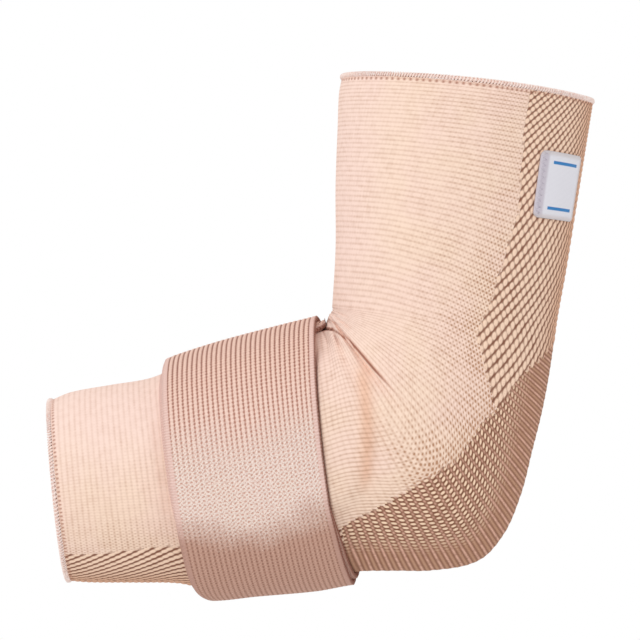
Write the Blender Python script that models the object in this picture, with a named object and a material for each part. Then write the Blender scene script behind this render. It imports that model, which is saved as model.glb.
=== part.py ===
"""Elbow support: a knitted sleeve bent round the elbow, with an elastic strap wound twice round the forearm.

The sleeve hangs in the XZ plane as an arm fills it: the forearm runs to -X, the upper arm to +Z.
The origin is the middle of the elbow. Everything is laid out from one curve of sections, which
run straight along the forearm, fan round the fold centre in the crook and run straight up the arm.
"""

import math
from collections import namedtuple

import bmesh
import bpy
from mathutils import Vector

# How the arm is bent, and where the fan of the elbow turns
FOREARM_DROP = math.radians(8.0)
UPPER_LEAN = math.radians(5.6)
FOLD_CENTRE_X = -0.0424
FOLD_CENTRE_Z = 0.0485

# The knitted sleeve
FOREARM_LENGTH = 0.1083
UPPER_LENGTH = 0.0869
WRIST_WIDTH = 0.0700
WRIST_FALL = 0.0211
WRIST_TILT = math.radians(2.0)
CROOK_WIDTH = 0.0945
CROOK_RADIUS = 0.0042
ELBOW_WIDTH = 0.1090
ARM_WIDTH = 0.0966
KNIT_WALL = 0.0016
OVAL_POWER = 2.15

# The overlocked hems
HEM_HEIGHT = 0.0016
HEM_WIDTH = 0.0024

# The elastic strap
STRAP_WIDTH = 0.0600
STRAP_THICKNESS = 0.0020
STRAP_STATION = 0.0320
STRAP_BOW = 0.0035
STRAP_EDGE = 0.0006
STRAP_START = -110.0
STRAP_TURN_DOWN = 35.0
STRAP_OVERLAP = 40.0
TAB_LENGTH = 0.0300
TAB_WIDTH = 0.0560
TAB_THICKNESS = 0.0012
TAB_SHOW = 0.0040

# The woven label
LABEL_WIDTH = 0.0275
LABEL_HEIGHT = 0.0250
LABEL_THICKNESS = 0.0007
LABEL_STATION = 0.0532
LABEL_TURN = 125.0

# Clearances between pieces that touch in cloth
KNIT_GAP = 0.0005
LAYER_GAP = 0.0004
SEWN_GAP = 0.0003

# How finely the solids are faceted
AROUND = 44
FOREARM_STEPS = 11
ELBOW_STEPS = 17
UPPER_STEPS = 8
STRAP_STEP = 9.0
BAND_COLUMNS = 6
HEM_SIDES = 8

FULL_TURN = 360.0
QUARTER_TURN = 90.0

# Each section of the sleeve: the run that it lies in, how far along it, how far the crook side lies
# from the line of the fold centre, the width across, and the depth as a share of that width
Section = namedtuple("Section", "run share near_size near width_size width depth")
SECTIONS = (
    Section("forearm", 1.00, WRIST_FALL, 1.00, WRIST_WIDTH, 0.990, 0.85),
    Section("forearm", 0.93, WRIST_FALL, 0.91, WRIST_WIDTH, 1.040, 0.86),
    Section("forearm", 0.78, WRIST_FALL, 0.88, WRIST_WIDTH, 1.096, 0.87),
    Section("forearm", 0.64, WRIST_FALL, 0.86, WRIST_WIDTH, 1.144, 0.87),
    Section("forearm", 0.53, WRIST_FALL, 0.73, CROOK_WIDTH, 0.902, 0.87),
    Section("forearm", 0.37, WRIST_FALL, 0.59, CROOK_WIDTH, 0.942, 0.86),
    Section("forearm", 0.16, WRIST_FALL, 0.46, CROOK_WIDTH, 0.983, 0.85),
    Section("forearm", 0.00, WRIST_FALL, 0.37, CROOK_WIDTH, 1.000, 0.83),
    Section("elbow", 0.10, CROOK_RADIUS, 1.50, ELBOW_WIDTH, 0.905, 0.81),
    Section("elbow", 0.19, CROOK_RADIUS, 1.28, ELBOW_WIDTH, 0.953, 0.78),
    Section("elbow", 0.31, CROOK_RADIUS, 1.10, ELBOW_WIDTH, 1.004, 0.75),
    Section("elbow", 0.40, CROOK_RADIUS, 1.00, ELBOW_WIDTH, 0.983, 0.76),
    Section("elbow", 0.50, CROOK_RADIUS, 1.00, ELBOW_WIDTH, 0.924, 0.79),
    Section("elbow", 0.62, CROOK_RADIUS, 1.00, ELBOW_WIDTH, 0.856, 0.84),
    Section("elbow", 0.75, CROOK_RADIUS, 1.00, ELBOW_WIDTH, 0.813, 0.88),
    Section("elbow", 0.88, CROOK_RADIUS, 1.00, ELBOW_WIDTH, 0.789, 0.90),
    Section("upper", 0.00, CROOK_RADIUS, 0.93, ARM_WIDTH, 0.887, 0.91),
    Section("upper", 0.26, CROOK_RADIUS, 0.71, ARM_WIDTH, 0.914, 0.90),
    Section("upper", 0.53, CROOK_RADIUS, 0.16, ARM_WIDTH, 0.953, 0.89),
    Section("upper", 0.80, CROOK_RADIUS, -0.19, ARM_WIDTH, 0.983, 0.88),
    Section("upper", 0.93, CROOK_RADIUS, -0.35, ARM_WIDTH, 0.997, 0.88),
    Section("upper", 1.00, CROOK_RADIUS, -0.24, ARM_WIDTH, 0.996, 0.88),
)

# Each fold that runs out from the crook: its place in the bend, its depth as a share of the
# elbow's width, its half width as a share of the bend, and how far it runs across the section
Fold = namedtuple("Fold", "share depth spread run_out")
FOLDS = (
    Fold(0.367, 0.028, 0.065, 0.46),
    Fold(0.200, 0.010, 0.090, 0.62),
    Fold(0.560, 0.012, 0.060, 0.12),
    Fold(0.760, 0.010, 0.060, 0.09),
)

# How far each part of the strap's first turn lies to the elbow's side of the turn over it, as a
# share of the strap's width
Swing = namedtuple("Swing", "turn shift")
SWINGS = (
    Swing(STRAP_START, 0.075),
    Swing(-2.0, 0.075),
    Swing(24.0, -0.020),
    Swing(90.0, -0.012),
    Swing(140.0, 0.020),
    Swing(190.0, 0.026),
    Swing(360.0, 0.000),
)

BEND = math.radians(QUARTER_TURN) - FOREARM_DROP - UPPER_LEAN
ELBOW_ARC = BEND * (CROOK_RADIUS + ELBOW_WIDTH / 2)


def place_of(run, share):
    """Distance along the sleeve from where the fan starts: less than 0 down the forearm."""
    if run == "forearm":
        return -share * FOREARM_LENGTH
    if run == "elbow":
        return share * ELBOW_ARC
    return ELBOW_ARC + share * UPPER_LENGTH


def section_rows():
    """The table in metres: place, centre, half width and half depth, from wrist to upper arm."""
    rows = []
    for row in SECTIONS:
        half = row.width_size * row.width / 2
        centre = row.near_size * row.near + half
        rows.append((place_of(row.run, row.share), centre, half, half * row.depth))
    return rows


ROWS = section_rows()


def slope_at(index, column):
    """Slope of a column of the rows at one row, from its two neighbours."""
    before = ROWS[max(index - 1, 0)]
    after = ROWS[min(index + 1, len(ROWS) - 1)]
    return (after[column] - before[column]) / (after[0] - before[0])


def section_size(place):
    """Centre, half width and half depth of the section at a place, on smooth curves through the rows."""
    place = min(max(place, ROWS[0][0]), ROWS[-1][0])
    index = max(i for i in range(len(ROWS) - 1) if ROWS[i][0] <= place)
    start, end = ROWS[index], ROWS[index + 1]
    span = end[0] - start[0]
    t = (place - start[0]) / span
    sizes = []
    for column in (1, 2, 3):
        rise_start = slope_at(index, column) * span
        rise_end = slope_at(index + 1, column) * span
        sizes.append(
            (2 * t**3 - 3 * t**2 + 1) * start[column]
            + (t**3 - 2 * t**2 + t) * rise_start
            + (3 * t**2 - 2 * t**3) * end[column]
            + (t**3 - t**2) * rise_end
        )
    return sizes


def fan_frame(place):
    """Foot and outward direction, in the XZ plane, of the section at a place."""
    turned = min(max(place / ELBOW_ARC, 0.0), 1.0) * BEND
    angle = FOREARM_DROP - math.radians(QUARTER_TURN) + turned
    outward = Vector((math.cos(angle), 0.0, math.sin(angle)))
    along = Vector((-math.sin(angle), 0.0, math.cos(angle)))
    straight = min(place, 0.0) + max(place - ELBOW_ARC, 0.0)
    foot = Vector((FOLD_CENTRE_X, 0.0, FOLD_CENTRE_Z)) + along * straight
    return foot, outward


def oval(turn, half_width, half_depth):
    """Point of the oval section, from its centre: out of the crook, and towards the front."""
    c, s = math.cos(math.radians(turn)), math.sin(math.radians(turn))
    power = 2 / OVAL_POWER
    out = -math.copysign(abs(c) ** power, c) * half_width
    front = math.copysign(abs(s) ** power, s) * half_depth
    return out, front


def oval_normal(turn, half_width, half_depth):
    """Outward normal of the oval section there."""
    out, front = oval(turn, half_width, half_depth)
    power = OVAL_POWER - 1
    across = math.copysign(abs(out / half_width) ** power, out) / half_width
    ahead = math.copysign(abs(front / half_depth) ** power, front) / half_depth
    length = math.hypot(across, ahead)
    return across / length, ahead / length


def fold_depth(place, across):
    """How far the folds draw the cloth in, at a share across the section from the crook."""
    bend_share = place / ELBOW_ARC
    depth = 0.0
    for fold in FOLDS:
        beside = max(0.0, 1 - abs(bend_share - fold.share) / fold.spread)
        along = max(0.0, 1 - (across / fold.run_out) ** 2)
        depth += fold.depth * ELBOW_WIDTH * beside**1.5 * along
    return depth


def smooth_step(value):
    """Rises smoothly from 0 to 1 as value does."""
    value = min(max(value, 0.0), 1.0)
    return value * value * (3 - 2 * value)


def wrist_tilt(place, out):
    """Shift along the forearm that tilts the wrist end a little, clear of the strap."""
    beyond = STRAP_STATION + STRAP_BOW + STRAP_WIDTH / 2
    settled = smooth_step((-place - beyond) / (FOREARM_LENGTH - beyond))
    along = Vector((math.cos(FOREARM_DROP), 0.0, math.sin(FOREARM_DROP)))
    return along * (-math.tan(WRIST_TILT) * out * settled)


def sleeve_point(place, turn, height=0.0, folded=False):
    """Point over the sleeve's outer face. The turn is 0 at the crook and 90 degrees at the front."""
    centre, half_width, half_depth = section_size(place)
    foot, outward = fan_frame(place)
    out, front = oval(turn, half_width, half_depth)
    foot += wrist_tilt(place, out)
    across, ahead = oval_normal(turn, half_width, half_depth)
    if folded:
        height -= fold_depth(place, (out + half_width) / (2 * half_width))
    out += across * height
    front += ahead * height
    return foot + outward * (centre + out) + Vector((0.0, -front, 0.0))


def cloth_material(name, colour, roughness):
    """Plain material with one colour and roughness."""
    material = bpy.data.materials.new(name)
    material.use_nodes = True
    shader = material.node_tree.nodes["Principled BSDF"]
    shader.inputs["Base Color"].default_value = (*colour, 1.0)
    shader.inputs["Roughness"].default_value = roughness
    shader.inputs["Metallic"].default_value = 0.0
    return material


def add_object(name, mesh_data, material):
    """Adds a finished bmesh to the scene as one named object."""
    bmesh.ops.recalc_face_normals(mesh_data, faces=mesh_data.faces)
    mesh = bpy.data.meshes.new(name)
    mesh_data.to_mesh(mesh)
    mesh_data.free()
    mesh.materials.append(material)
    mesh.shade_smooth()
    mesh.set_sharp_from_angle(angle=math.radians(40.0))
    placed = bpy.data.objects.new(name, mesh)
    bpy.context.scene.collection.objects.link(placed)
    return placed


def loft(rings, closed_path):
    """Solid through rings of points. An open path is capped, a closed one meets itself."""
    mesh_data = bmesh.new()
    loops = [[mesh_data.verts.new(point) for point in ring] for ring in rings]
    pairs = list(zip(loops, loops[1:]))
    if closed_path:
        pairs.append((loops[-1], loops[0]))
    for first, second in pairs:
        count = len(first)
        for i in range(count):
            j = (i + 1) % count
            mesh_data.faces.new((first[i], first[j], second[j], second[i]))
    if not closed_path:
        mesh_data.faces.new(loops[0])
        mesh_data.faces.new(loops[-1])
    return mesh_data


def steps_between(start, end, count):
    """Evenly spaced values from start to end."""
    return [start + (end - start) * i / count for i in range(count + 1)]


def sleeve_places():
    """Places of the sleeve's faceted sections, wrist to upper arm, each once."""
    forearm = steps_between(-FOREARM_LENGTH, 0.0, FOREARM_STEPS)
    elbow = steps_between(0.0, ELBOW_ARC, ELBOW_STEPS)
    upper = steps_between(ELBOW_ARC, ELBOW_ARC + UPPER_LENGTH, UPPER_STEPS)
    return forearm + elbow[1:] + upper[1:]


def round_turns():
    """Turns of the facets round the tube."""
    return [FULL_TURN * i / AROUND for i in range(AROUND)]


def make_sleeve(material):
    """The knitted tube: its outer face one way, and its inner face back again."""
    places = sleeve_places()
    outer = [[sleeve_point(p, turn, 0.0, True) for turn in round_turns()] for p in places]
    inner = [[sleeve_point(p, turn, -KNIT_WALL, True) for turn in round_turns()] for p in places]
    return add_object("sleeve", loft(outer + inner[::-1], True), material)


def make_hem(name, end_place, outward, material):
    """The overlocked bead on an open end. Outward is 1 past the upper arm and -1 past the wrist."""
    middle = end_place + outward * (SEWN_GAP + HEM_HEIGHT / 2)
    rings = []
    for turn in round_turns():
        ring = []
        for i in range(HEM_SIDES):
            angle = 2 * math.pi * (i + 0.5) / HEM_SIDES
            place = middle + math.cos(angle) * HEM_HEIGHT / 2
            height = -KNIT_WALL / 2 + math.sin(angle) * HEM_WIDTH / 2
            ring.append(sleeve_point(place, turn, height))
        rings.append(ring)
    return add_object(name, loft(rings, True), material)


def strap_end():
    """Turn at which the strap ends: two whole turns and the overlap."""
    return STRAP_START + 2 * FULL_TURN + STRAP_OVERLAP


def strap_swing(turn):
    """Shift of the strap's first turn towards the elbow."""
    if turn >= SWINGS[-1].turn:
        return 0.0
    index = max(i for i in range(len(SWINGS) - 1) if SWINGS[i].turn <= turn)
    start, end = SWINGS[index], SWINGS[index + 1]
    t = smooth_step((turn - start.turn) / (end.turn - start.turn))
    return STRAP_WIDTH * (start.shift + (end.shift - start.shift) * t)


def strap_station(turn):
    """Distance of the strap's middle from the crook, down the forearm."""
    bow = STRAP_BOW * math.sin(math.radians(turn))
    return STRAP_STATION + bow - strap_swing(turn)


def strap_height(turn):
    """Height of the strap's inner face over the knit: it climbs on to itself after each turn."""
    layer = STRAP_THICKNESS + LAYER_GAP
    tab_lift = TAB_THICKNESS + 2 * SEWN_GAP - LAYER_GAP
    height = KNIT_GAP
    for lap in (1, 2):
        climb_end = STRAP_START + lap * FULL_TURN
        climbed = smooth_step((turn - climb_end + STRAP_TURN_DOWN) / STRAP_TURN_DOWN)
        height += climbed * (layer + (tab_lift if lap == 2 else 0.0))
    return height


def band_point(turn, across, height):
    """Point of the strap: across is measured from its middle, towards the wrist."""
    return sleeve_point(-strap_station(turn) - across, turn, height)


def band_ring(turn, width, height, thickness, edge):
    """Cross-section of a band at one turn, with its two long edges rounded off."""
    half = width / 2
    columns = steps_between(edge - half, half - edge, BAND_COLUMNS)
    top = [band_point(turn, across, height + thickness) for across in columns]
    bottom = [band_point(turn, across, height) for across in reversed(columns)]
    far = band_point(turn, half, height + thickness / 2)
    near = band_point(turn, -half, height + thickness / 2)
    return [*top, far, *bottom, near]


def turn_length(turn, length):
    """Degrees that a length takes up round the forearm, at the strap."""
    here = sleeve_point(-STRAP_STATION, turn)
    ahead = sleeve_point(-STRAP_STATION, turn + 1.0)
    return length / (ahead - here).length


def make_strap(material):
    """The elastic band, wound twice round the forearm and over its own start."""
    count = round((strap_end() - STRAP_START) / STRAP_STEP)
    rings = [
        band_ring(turn, STRAP_WIDTH, strap_height(turn), STRAP_THICKNESS, STRAP_EDGE)
        for turn in steps_between(STRAP_START, strap_end(), count)
    ]
    return add_object("strap", loft(rings, False), material)


def make_hook_tab(material):
    """The hook patch under the strap's free end, which grips the turn below it."""
    end = strap_end() + turn_length(strap_end(), TAB_SHOW)
    start = end - turn_length(end, TAB_LENGTH)
    below = STRAP_THICKNESS + SEWN_GAP
    rings = []
    for turn in steps_between(start, end, 6):
        height = strap_height(turn - FULL_TURN) + below
        rings.append(band_ring(turn, TAB_WIDTH, height, TAB_THICKNESS, SEWN_GAP))
    return add_object("hook_tab", loft(rings, False), material)


def make_label(material):
    """The woven label, sewn flat on the back of the upper arm."""
    place = ELBOW_ARC + LABEL_STATION
    here = sleeve_point(place, LABEL_TURN)
    ahead = sleeve_point(place, LABEL_TURN + 1.0)
    turn_span = LABEL_WIDTH / (ahead - here).length
    rings = []
    for turn in steps_between(LABEL_TURN, LABEL_TURN + turn_span, 6):
        heights = (SEWN_GAP, SEWN_GAP + LABEL_THICKNESS)
        places = steps_between(place - LABEL_HEIGHT / 2, place + LABEL_HEIGHT / 2, 4)
        top = [sleeve_point(p, turn, heights[1]) for p in places]
        bottom = [sleeve_point(p, turn, heights[0]) for p in reversed(places)]
        rings.append([*top, *bottom])
    return add_object("label", loft(rings, False), material)


def main():
    """Clears the scene, then builds every piece."""
    for old in list(bpy.data.objects):
        bpy.data.objects.remove(old)
    knit = cloth_material("knit", (0.83, 0.62, 0.48), 0.85)
    overlock = cloth_material("overlock", (0.80, 0.62, 0.58), 0.8)
    webbing = cloth_material("webbing", (0.60, 0.38, 0.30), 0.75)
    hooks = cloth_material("hooks", (0.62, 0.44, 0.36), 0.7)
    woven = cloth_material("woven", (0.80, 0.80, 0.82), 0.6)
    make_sleeve(knit)
    make_hem("upper_hem", ELBOW_ARC + UPPER_LENGTH, 1, overlock)
    make_hem("wrist_hem", -FOREARM_LENGTH, -1, overlock)
    make_strap(webbing)
    make_hook_tab(hooks)
    make_label(woven)


main()
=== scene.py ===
# %% [markdown]
# # A knitted elbow support with an elastic strap
# The object is a bent tube of elastic knit. A band of ribbed webbing is wound twice round its
# forearm end, and a small woven label is sewn to its upper arm. This lesson dresses the measured
# solids of that object: every cloth piece is made again here, finer, in the place of its solid.
# The first step loads the solids.

# %% Load the measured solids
import math

import bpy
import numpy as np
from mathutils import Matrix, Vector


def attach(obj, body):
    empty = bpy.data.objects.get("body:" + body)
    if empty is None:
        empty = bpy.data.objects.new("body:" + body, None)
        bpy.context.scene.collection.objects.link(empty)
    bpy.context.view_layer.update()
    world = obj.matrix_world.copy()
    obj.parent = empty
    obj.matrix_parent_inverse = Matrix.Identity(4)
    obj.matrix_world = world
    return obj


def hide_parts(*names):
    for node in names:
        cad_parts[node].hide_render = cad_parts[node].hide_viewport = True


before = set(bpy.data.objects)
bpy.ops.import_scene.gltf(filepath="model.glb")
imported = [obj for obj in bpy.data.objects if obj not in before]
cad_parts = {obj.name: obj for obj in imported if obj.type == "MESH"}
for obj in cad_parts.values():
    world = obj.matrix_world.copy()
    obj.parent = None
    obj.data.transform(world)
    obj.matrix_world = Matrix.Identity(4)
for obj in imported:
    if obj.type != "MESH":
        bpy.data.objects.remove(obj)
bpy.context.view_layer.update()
scene = bpy.context.scene

# %% [markdown]
# ## Camera
# A product picture is taken from far off with a long lens, so that near and far parts keep their
# sizes. A level camera 1.5 m away and a lens worked out from the width of the view do the same.

# %% Camera
VIEW_WIDTH = 0.24448
VIEW_DISTANCE = 1.5
VIEW_CENTRE = (-0.04317, 0.04317)

camera = bpy.data.objects.new("camera", bpy.data.cameras.new("camera"))
camera.data.lens = camera.data.sensor_width * VIEW_DISTANCE / VIEW_WIDTH
camera.location = (VIEW_CENTRE[0], -VIEW_DISTANCE, VIEW_CENTRE[1])
camera.rotation_euler = (math.radians(90), 0, 0)
scene.collection.objects.link(camera)
scene.camera = camera
print("lens", round(camera.data.lens, 1), "mm")

# %% [markdown]
# ## White room
# The support hangs in front of plain white, filled out as an arm fills it. A light tent gives
# that: a flat, bright fill from all round. A white world does the same. What the camera sees of
# it stays full white, and what falls on the cloth is a little weaker, so that the cloth doesn't
# wash out.

# %% White room
scene.view_settings.view_transform = "Standard"
FILL_LIGHT = 0.79

world = bpy.data.worlds.new("white_room")
world.use_nodes = True
room = world.node_tree
backdrop = room.nodes["Background"]
backdrop.inputs["Color"].default_value = (1, 1, 1, 1)
backdrop.inputs["Strength"].default_value = 1.0
fill = room.nodes.new("ShaderNodeBackground")
fill.inputs["Color"].default_value = (1, 1, 1, 1)
fill.inputs["Strength"].default_value = FILL_LIGHT
sight = room.nodes.new("ShaderNodeLightPath")
either = room.nodes.new("ShaderNodeMixShader")
room.links.new(sight.outputs["Is Camera Ray"], either.inputs[0])
room.links.new(fill.outputs[0], either.inputs[1])
room.links.new(backdrop.outputs[0], either.inputs[2])
room.links.new(either.outputs[0], room.nodes["World Output"].inputs[0])
scene.world = world
print("fill light", FILL_LIGHT)

# %% [markdown]
# ## Floor
# In the picture the support hangs free. The floor lies well below it and out of sight, and is
# there for the other views. One large matt face is enough.

# %% Floor
FLOOR_HEIGHT = -0.3
FLOOR_SIDE = 4.0
FLOOR_FRONT = -5.0
FLOOR_BACK = 2.6

floor_corners = [
    (-FLOOR_SIDE, FLOOR_FRONT),
    (FLOOR_SIDE, FLOOR_FRONT),
    (FLOOR_SIDE, FLOOR_BACK),
    (-FLOOR_SIDE, FLOOR_BACK),
]
floor_mesh = bpy.data.meshes.new("floor")
floor_mesh.from_pydata([(x, y, FLOOR_HEIGHT) for x, y in floor_corners], [], [(0, 1, 2, 3)])
floor = bpy.data.objects.new("floor", floor_mesh)
scene.collection.objects.link(floor)
floor_paint = bpy.data.materials.new("floor_paint")
floor_paint.use_nodes = True
floor_shader = floor_paint.node_tree.nodes["Principled BSDF"]
floor_shader.inputs["Base Color"].default_value = (0.9, 0.9, 0.9, 1)
floor_shader.inputs["Roughness"].default_value = 0.9
floor_mesh.materials.append(floor_paint)
print("floor at", FLOOR_HEIGHT, "m")

# %% [markdown]
# ## Soft lamps
# Fill alone would make the cloth look flat. Two large square lamps give it some direction: the
# brighter one from the upper left, the weaker one from the right. The larger a lamp, the softer
# the shade beside each fold.

# %% Two soft lamps


def soft_lamp(name, place, aim, size, watts):
    """A large square lamp that looks from its place at a point."""
    lamp = bpy.data.lights.new(name, "AREA")
    lamp.size = size
    lamp.energy = watts
    placed = bpy.data.objects.new(name, lamp)
    placed.location = place
    direction = Vector(aim) - Vector(place)
    placed.rotation_euler = direction.to_track_quat("-Z", "Y").to_euler()
    scene.collection.objects.link(placed)
    return placed


soft_lamp("left_lamp", (-1.08, -1.2, 1.1), (-0.04, 0, 0.04), 1.4, 8.6)
soft_lamp("right_lamp", (1.4, -1.2, 0.3), (0, 0, 0.04), 1.0, 2.0)

# %% [markdown]
# ## The shape of the sleeve
# A tube on a bent arm is a row of oval sections. Down the forearm and up the arm they run
# straight, and round the elbow they fan out from one point in the crook. Every place on the cloth
# then has two numbers: its place along the tube, and its turn round it, 0 at the crook, 90 at the
# front and 180 at the outer side. A third number, the height, lifts a point off the cloth. The
# sizes are the ones that the solids were made from.

# %% Sections of the tube
FOREARM_DROP = math.radians(8.0)
UPPER_LEAN = math.radians(5.6)
FOLD_CENTRE = (-0.0424, 0.0485)
FOREARM_LENGTH = 0.1083
UPPER_LENGTH = 0.0869
WRIST_WIDTH = 0.0700
WRIST_FALL = 0.0211
WRIST_TILT = math.radians(2.0)
CROOK_WIDTH = 0.0945
CROOK_RADIUS = 0.0042
ELBOW_WIDTH = 0.1090
ARM_WIDTH = 0.0966
KNIT_WALL = 0.0016
OVAL_POWER = 2.15
BEND = math.radians(90) - FOREARM_DROP - UPPER_LEAN
ELBOW_ARC = BEND * (CROOK_RADIUS + ELBOW_WIDTH / 2)
ARM_END = ELBOW_ARC + UPPER_LENGTH

# run, share along it, size and share that give the crook side, size and share of the width, depth
SECTIONS = (
    ("forearm", 1.00, WRIST_FALL, 1.00, WRIST_WIDTH, 0.990, 0.85),
    ("forearm", 0.93, WRIST_FALL, 0.91, WRIST_WIDTH, 1.040, 0.86),
    ("forearm", 0.78, WRIST_FALL, 0.88, WRIST_WIDTH, 1.084, 0.87),
    ("forearm", 0.64, WRIST_FALL, 0.86, WRIST_WIDTH, 1.125, 0.87),
    ("forearm", 0.53, WRIST_FALL, 0.73, CROOK_WIDTH, 0.902, 0.87),
    ("forearm", 0.37, WRIST_FALL, 0.59, CROOK_WIDTH, 0.942, 0.86),
    ("forearm", 0.16, WRIST_FALL, 0.46, CROOK_WIDTH, 0.983, 0.85),
    ("forearm", 0.00, WRIST_FALL, 0.37, CROOK_WIDTH, 1.000, 0.83),
    ("elbow", 0.10, CROOK_RADIUS, 1.50, ELBOW_WIDTH, 0.905, 0.81),
    ("elbow", 0.19, CROOK_RADIUS, 1.28, ELBOW_WIDTH, 0.953, 0.78),
    ("elbow", 0.31, CROOK_RADIUS, 1.10, ELBOW_WIDTH, 1.004, 0.75),
    ("elbow", 0.40, CROOK_RADIUS, 1.00, ELBOW_WIDTH, 0.983, 0.76),
    ("elbow", 0.50, CROOK_RADIUS, 1.00, ELBOW_WIDTH, 0.924, 0.79),
    ("elbow", 0.62, CROOK_RADIUS, 1.00, ELBOW_WIDTH, 0.856, 0.84),
    ("elbow", 0.75, CROOK_RADIUS, 1.00, ELBOW_WIDTH, 0.813, 0.88),
    ("elbow", 0.88, CROOK_RADIUS, 1.00, ELBOW_WIDTH, 0.789, 0.90),
    ("upper", 0.00, CROOK_RADIUS, 0.93, ARM_WIDTH, 0.887, 0.91),
    ("upper", 0.26, CROOK_RADIUS, 0.71, ARM_WIDTH, 0.914, 0.90),
    ("upper", 0.53, CROOK_RADIUS, 0.16, ARM_WIDTH, 0.953, 0.89),
    ("upper", 0.80, CROOK_RADIUS, -0.19, ARM_WIDTH, 0.983, 0.88),
    ("upper", 0.93, CROOK_RADIUS, -0.35, ARM_WIDTH, 0.997, 0.88),
    ("upper", 1.00, CROOK_RADIUS, -0.24, ARM_WIDTH, 0.996, 0.88),
)
RUN_START = {"forearm": 0.0, "elbow": 0.0, "upper": ELBOW_ARC}
RUN_LENGTH = {"forearm": -FOREARM_LENGTH, "elbow": ELBOW_ARC, "upper": UPPER_LENGTH}

SECTION_PLACES = np.array([RUN_START[s[0]] + s[1] * RUN_LENGTH[s[0]] for s in SECTIONS])
SECTION_HALF = np.array([s[4] * s[5] / 2 for s in SECTIONS])
SECTION_CENTRE = np.array([s[2] * s[3] for s in SECTIONS]) + SECTION_HALF
SECTION_DEPTH = SECTION_HALF * np.array([s[6] for s in SECTIONS])
print("elbow arc", round(ELBOW_ARC * 1000, 1), "mm; arm end at", round(ARM_END * 1000, 1), "mm")

# %% [markdown]
# ## Smooth curves between the sections
# Between two sections the tube changes smoothly, as stretched cloth does. Straight lines between
# them would leave kinks, and Blender's own curves can't be read at thousands of points at once.
# So a smooth curve through the values is worked out for whole arrays.

# %% Smooth curves


def smooth_through(x, knots, values):
    """A smooth curve through values at knots, read at every x."""
    slopes = np.empty_like(values)
    slopes[1:-1] = (values[2:] - values[:-2]) / (knots[2:] - knots[:-2])
    slopes[0] = (values[1] - values[0]) / (knots[1] - knots[0])
    slopes[-1] = (values[-1] - values[-2]) / (knots[-1] - knots[-2])
    x = np.clip(x, knots[0], knots[-1])
    i = np.clip(np.searchsorted(knots, x, side="right") - 1, 0, len(knots) - 2)
    span = knots[i + 1] - knots[i]
    t = (x - knots[i]) / span
    return (
        (2 * t**3 - 3 * t**2 + 1) * values[i]
        + (t**3 - 2 * t**2 + t) * slopes[i] * span
        + (3 * t**2 - 2 * t**3) * values[i + 1]
        + (t**3 - t**2) * slopes[i + 1] * span
    )


def smooth_step(x):
    """Rises smoothly from 0 to 1 as x does."""
    x = np.clip(x, 0.0, 1.0)
    return x * x * (3 - 2 * x)


def signed_power(x, power):
    """A power that keeps the sign."""
    return np.sign(x) * np.abs(x) ** power


width_midway = 2 * float(smooth_through(ELBOW_ARC / 2, SECTION_PLACES, SECTION_HALF))
print("width half way round the elbow", round(width_midway * 1000, 1), "mm")

# %% [markdown]
# ## Points on the tube
# One function gives a point of the cloth from its place, turn and height, for whole arrays at
# once. Every later piece is laid on the tube through it, so that hems, strap and label follow the
# knit. The wrist end is cut a little slanting, and the arm end arches slightly.

# %% Points on the tube
STRAP_WIDTH = 0.0600
STRAP_STATION = 0.0320
STRAP_BOW = 0.0035
HEM_ARCH = 0.0013


def tube_point(place, turn, height=0.0):
    """Points over the tube, for arrays of place, turn in degrees, and height over the cloth."""
    place, turn, height = np.broadcast_arrays(place, turn, height)
    half = smooth_through(place, SECTION_PLACES, SECTION_HALF)
    centre = smooth_through(place, SECTION_PLACES, SECTION_CENTRE)
    depth = smooth_through(place, SECTION_PLACES, SECTION_DEPTH)
    cos, sin = np.cos(np.radians(turn)), np.sin(np.radians(turn))
    out = -signed_power(cos, 2 / OVAL_POWER) * half
    front = signed_power(sin, 2 / OVAL_POWER) * depth
    across = signed_power(out / half, OVAL_POWER - 1) / half
    ahead = signed_power(front / depth, OVAL_POWER - 1) / depth
    length = np.hypot(across, ahead)
    bend = FOREARM_DROP - math.radians(90) + np.clip(place / ELBOW_ARC, 0, 1) * BEND
    straight = np.minimum(place, 0) + np.maximum(place - ELBOW_ARC, 0)
    beyond = STRAP_STATION + STRAP_BOW + STRAP_WIDTH / 2
    settled = smooth_step((-place - beyond) / (FOREARM_LENGTH - beyond))
    straight = straight - math.tan(WRIST_TILT) * out * settled
    arched = smooth_step((place - 0.5 * (ELBOW_ARC + ARM_END)) / (0.5 * UPPER_LENGTH))
    straight = straight + HEM_ARCH * arched * np.clip(1 - (out / half + 0.1) ** 2, 0, 1)
    reach = centre + out + across / length * height
    x = FOLD_CENTRE[0] - np.sin(bend) * straight + np.cos(bend) * reach
    z = FOLD_CENTRE[1] + np.cos(bend) * straight + np.sin(bend) * reach
    return np.stack([x, -(front + ahead / length * height), z], axis=-1)


print("outer corner of the arm end, mm", np.round(tube_point(ARM_END, 180) * 1000, 1))

# %% [markdown]
# ## Measures round the cloth
# Stitches are counted along the cloth, not by angle. The girth is found as a tape measure finds
# it, by adding up short steps round the section. The same steps tell where a point lies that is
# so many millimetres from the outer line.

# %% Measures round the cloth
GIRTH_STEPS = 721


def reach_of(place, turn):
    """How far a point of the cloth lies from the line of the fold centre."""
    half = smooth_through(place, SECTION_PLACES, SECTION_HALF)
    centre = smooth_through(place, SECTION_PLACES, SECTION_CENTRE)
    return centre - signed_power(np.cos(np.radians(turn)), 2 / OVAL_POWER) * half


def half_girth(place):
    """Length round the cloth from the crook to the outer line, at each place."""
    turns = np.linspace(0, 180, GIRTH_STEPS)
    points = tube_point(np.asarray(place)[:, None], turns[None, :])
    return np.linalg.norm(np.diff(points, axis=1), axis=2).sum(axis=1)


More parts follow.
